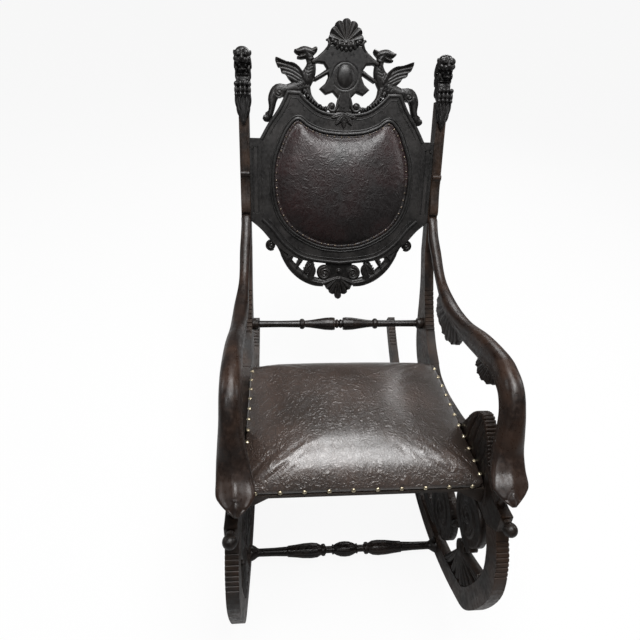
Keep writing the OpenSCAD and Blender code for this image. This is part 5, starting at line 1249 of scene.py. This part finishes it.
def make_rear_scrolls():
    """Rear volute: a ridge and a groove that wind in to a knob, on a grooved stem."""
    c = fret(0.60, 0.55)
    g = Ground("right_rear_scroll", on_side, FRAME_PROBE, (-365, 80), (75, 370), 1.8, base=9)
    g.soften(1.5, 3)
    g.ridge(spiral(c, 64, 10, 235, 620, 26, 9, 120), 4.5, 9, 0.8)
    g.knob(c, 18, 6, 9)
    g.groove(spiral(c, 64, 14, 235, 560, 2.6, 1.4, 110), 1.3)
    stem = smooth([fret(a, b, w) for (a, b), w in zip(
        ((-0.05, 1.04), (0.02, 0.76), (0.13, 0.49), (0.28, 0.31), (0.44, 0.25), (0.56, 0.31)),
        (44, 42, 38, 40, 44, 40))], 6)
    g.ridge(stem, 3.6, 9, 0.8)
    g.groove(stem*[1, 1, 0.16], 2.2)
    g.surface("rear_volute", carving("frame_wood"), ["right_rear_scroll"], FRAME_MIDDLE, both=True,
              mirror=True)


def make_fans():
    """Fan: eight grooved reeds that spread from a knob."""
    root = np.array(fret(0.86, 0.70))
    g = Ground("right_fan", on_side, FRAME_PROBE, (-545, 90), (-270, 300), 1.4, base=8.5)
    g.soften(1.2, 3)
    for i in range(8):
        line = ray(root, heading(math.radians(282 - 19*i))*138, ((0.1, 10), (0.4, 17), (0.7, 24), (0.95, 27)))
        g.ridge(line, 4.5, 8.5, 0.9)
        g.groove(line*[1, 1, 0.18], 2.0)
    g.knob(root, 40, 5, 9)
    g.surface("fan_carving", carving("frame_wood"), ["right_fan"], FRAME_MIDDLE, both=True, mirror=True)


class CHAIR_OT_side_carvings(bpy.types.Operator):
    """Carve the plumes, reeds, volutes and fans of the side frames and the leaves under the arms"""
    bl_idname = "chair.side_carvings"
    bl_label = "Side carvings"

    def execute(self, context):
        for make in (make_plumes, make_reeds, make_arm_leaves, make_front_scrolls, make_rear_scrolls,
                     make_fans):
            make()
        return {"FINISHED"}


# Stage

# Name, place, aim, size and power of each lamp
LAMPS = (("overhead", (0.1, -0.6, 3.1), (0, -0.15, 0.5), (1.6, 1.3), 86),
         ("skylight", (0.0, 0.62, 2.95), (0, -0.25, 0.5), (1.1, 0.55), 28),
         ("front", (-1.5, -1.7, 2.9), (0, 0, 0.8), (0.9, 0.9), 12),
         ("right", (2.4, 0.3, 1.8), (0.2, 0, 0.6), (0.7, 1.6), 14),
         ("left", (-2.6, 0.6, 1.6), (-0.2, 0, 0.6), (0.7, 1.4), 9),
         ("rear", (0.9, 2.8, 1.9), (0, 0.3, 0.7), (1.4, 1.0), 24))
CAMERA_AT, CAMERA_TURN = (-0.1692, -0.890, 1.370), (-6.154, 50, 3.696)      # Degrees about Z, X and Z again
FLOOR, FLOOR_Z = 20, -0.0005        # Half width and height, in metres


class ChairStage(bpy.types.PropertyGroup):
    """Camera and light"""
    lens: bpy.props.FloatProperty(
        name="Lens", description="Focal length of the camera",
        default=26.74, min=10.0, max=100.0, unit="CAMERA")
    level: bpy.props.FloatProperty(
        name="Light level", description="Level of all the lamps together", default=1.0, min=0.1, max=4.0)
    room: bpy.props.FloatProperty(
        name="Room light", description="Strength of the plain white room round the chair",
        default=0.155, min=0.0, max=1.0)
    pale: bpy.props.FloatProperty(
        name="Floor glow", description="Share of plain white that the camera sees on the floor",
        default=0.87, min=0.0, max=1.0)


class CHAIR_OT_stage(bpy.types.Operator):
    """Set the floor, the soft lights and the camera"""
    bl_idname = "chair.stage"
    bl_label = "Stage"

    def execute(self, context):
        scene, s = context.scene, context.scene.chair_stage
        floor = bpy.data.meshes.new("floor")
        floor.from_pydata([(FLOOR*a, FLOOR*b, FLOOR_Z) for a, b in ((-1, -1), (1, -1), (1, 1), (-1, 1))], [],
                          [(0, 1, 2, 3)])
        o = bpy.data.objects.new("floor", floor)
        scene.collection.objects.link(o)
        m = bpy.data.materials.new("pale_floor")
        m.use_nodes = True
        t = m.node_tree
        t.nodes.clear()
        plain = add(t, "BsdfDiffuse", {"Color": (0.42, 0.42, 0.42, 1)})
        glow = add(t, "Emission", {"Color": (1, 1, 1, 1), "Strength": 1.06})
        seen = maths(t, "MULTIPLY", add(t, "LightPath").outputs["Is Camera Ray"], s.pale)
        mix = add(t, "MixShader", {0: seen, 1: plain.outputs[0], 2: glow.outputs[0]})
        add(t, "OutputMaterial", {"Surface": mix.outputs[0]})
        floor.materials.append(m)
        world = bpy.data.worlds.new("room")
        world.use_nodes = True
        t = world.node_tree
        t.nodes["Background"].inputs["Color"].default_value = (1, 1, 1, 1)
        seen = add(t, "LightPath").outputs["Is Camera Ray"]
        t.links.new(spread(t, seen, 0, 1, s.room, 1), t.nodes["Background"].inputs["Strength"])
        scene.world = world
        for name, spot, aim, size, power in LAMPS:
            lamp = bpy.data.lights.new(name, "AREA")
            lamp.shape, lamp.size, lamp.size_y, lamp.energy = "RECTANGLE", size[0], size[1], power*s.level
            o = bpy.data.objects.new(name, lamp)
            o.location = spot
            o.rotation_euler = (Vector(aim) - Vector(spot)).to_track_quat("-Z", "Y").to_euler()
            scene.collection.objects.link(o)
        cam = bpy.data.cameras.new("camera")
        cam.lens, cam.sensor_width, cam.clip_start = s.lens, 36.0, 0.05
        o = bpy.data.objects.new("camera", cam)
        first, tilt, last = (math.radians(a) for a in CAMERA_TURN)
        turn = Matrix.Rotation(first, 4, "Z") @ Matrix.Rotation(tilt, 4, "X") @ Matrix.Rotation(last, 4, "Z")
        o.matrix_world = Matrix.Translation(CAMERA_AT) @ turn
        scene.collection.objects.link(o)
        scene.camera = o
        scene.view_settings.view_transform = "Standard"
        return {"FINISHED"}


class CHAIR_PT_panel(bpy.types.Panel):
    """Buttons for each part of the chair and for the stage"""
    bl_label = "Carved rocking chair"
    bl_idname = "CHAIR_PT_panel"
    bl_space_type = "VIEW_3D"
    bl_region_type = "UI"
    bl_category = "Chair"

    def draw(self, context):
        for group in (context.scene.chair_finish, context.scene.chair_stage):
            box = self.layout.box()
            for key in group.__annotations__:
                box.prop(group, key)
        for c in OPERATORS:
            self.layout.operator(c.bl_idname)


OPERATORS = (CHAIR_OT_finishes, CHAIR_OT_cushions, CHAIR_OT_front_rail, CHAIR_OT_arms, CHAIR_OT_crest,
             CHAIR_OT_drop, CHAIR_OT_lions, CHAIR_OT_side_carvings, CHAIR_OT_stage)
CLASSES = (ChairFinish, ChairStage, *OPERATORS, CHAIR_PT_panel)


def register():
    for c in CLASSES:
        bpy.utils.register_class(c)
    bpy.types.Scene.chair_finish = bpy.props.PointerProperty(type=ChairFinish)
    bpy.types.Scene.chair_stage = bpy.props.PointerProperty(type=ChairStage)


def unregister():
    del bpy.types.Scene.chair_finish, bpy.types.Scene.chair_stage
    for c in reversed(CLASSES):
        bpy.utils.unregister_class(c)


def main():
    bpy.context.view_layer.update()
    register()
    for step in (bpy.ops.chair.finishes, bpy.ops.chair.cushions, bpy.ops.chair.front_rail, bpy.ops.chair.arms,
                 bpy.ops.chair.crest, bpy.ops.chair.drop, bpy.ops.chair.lions, bpy.ops.chair.side_carvings,
                 bpy.ops.chair.stage):
        step()


if __name__ == "__main__":
    main()
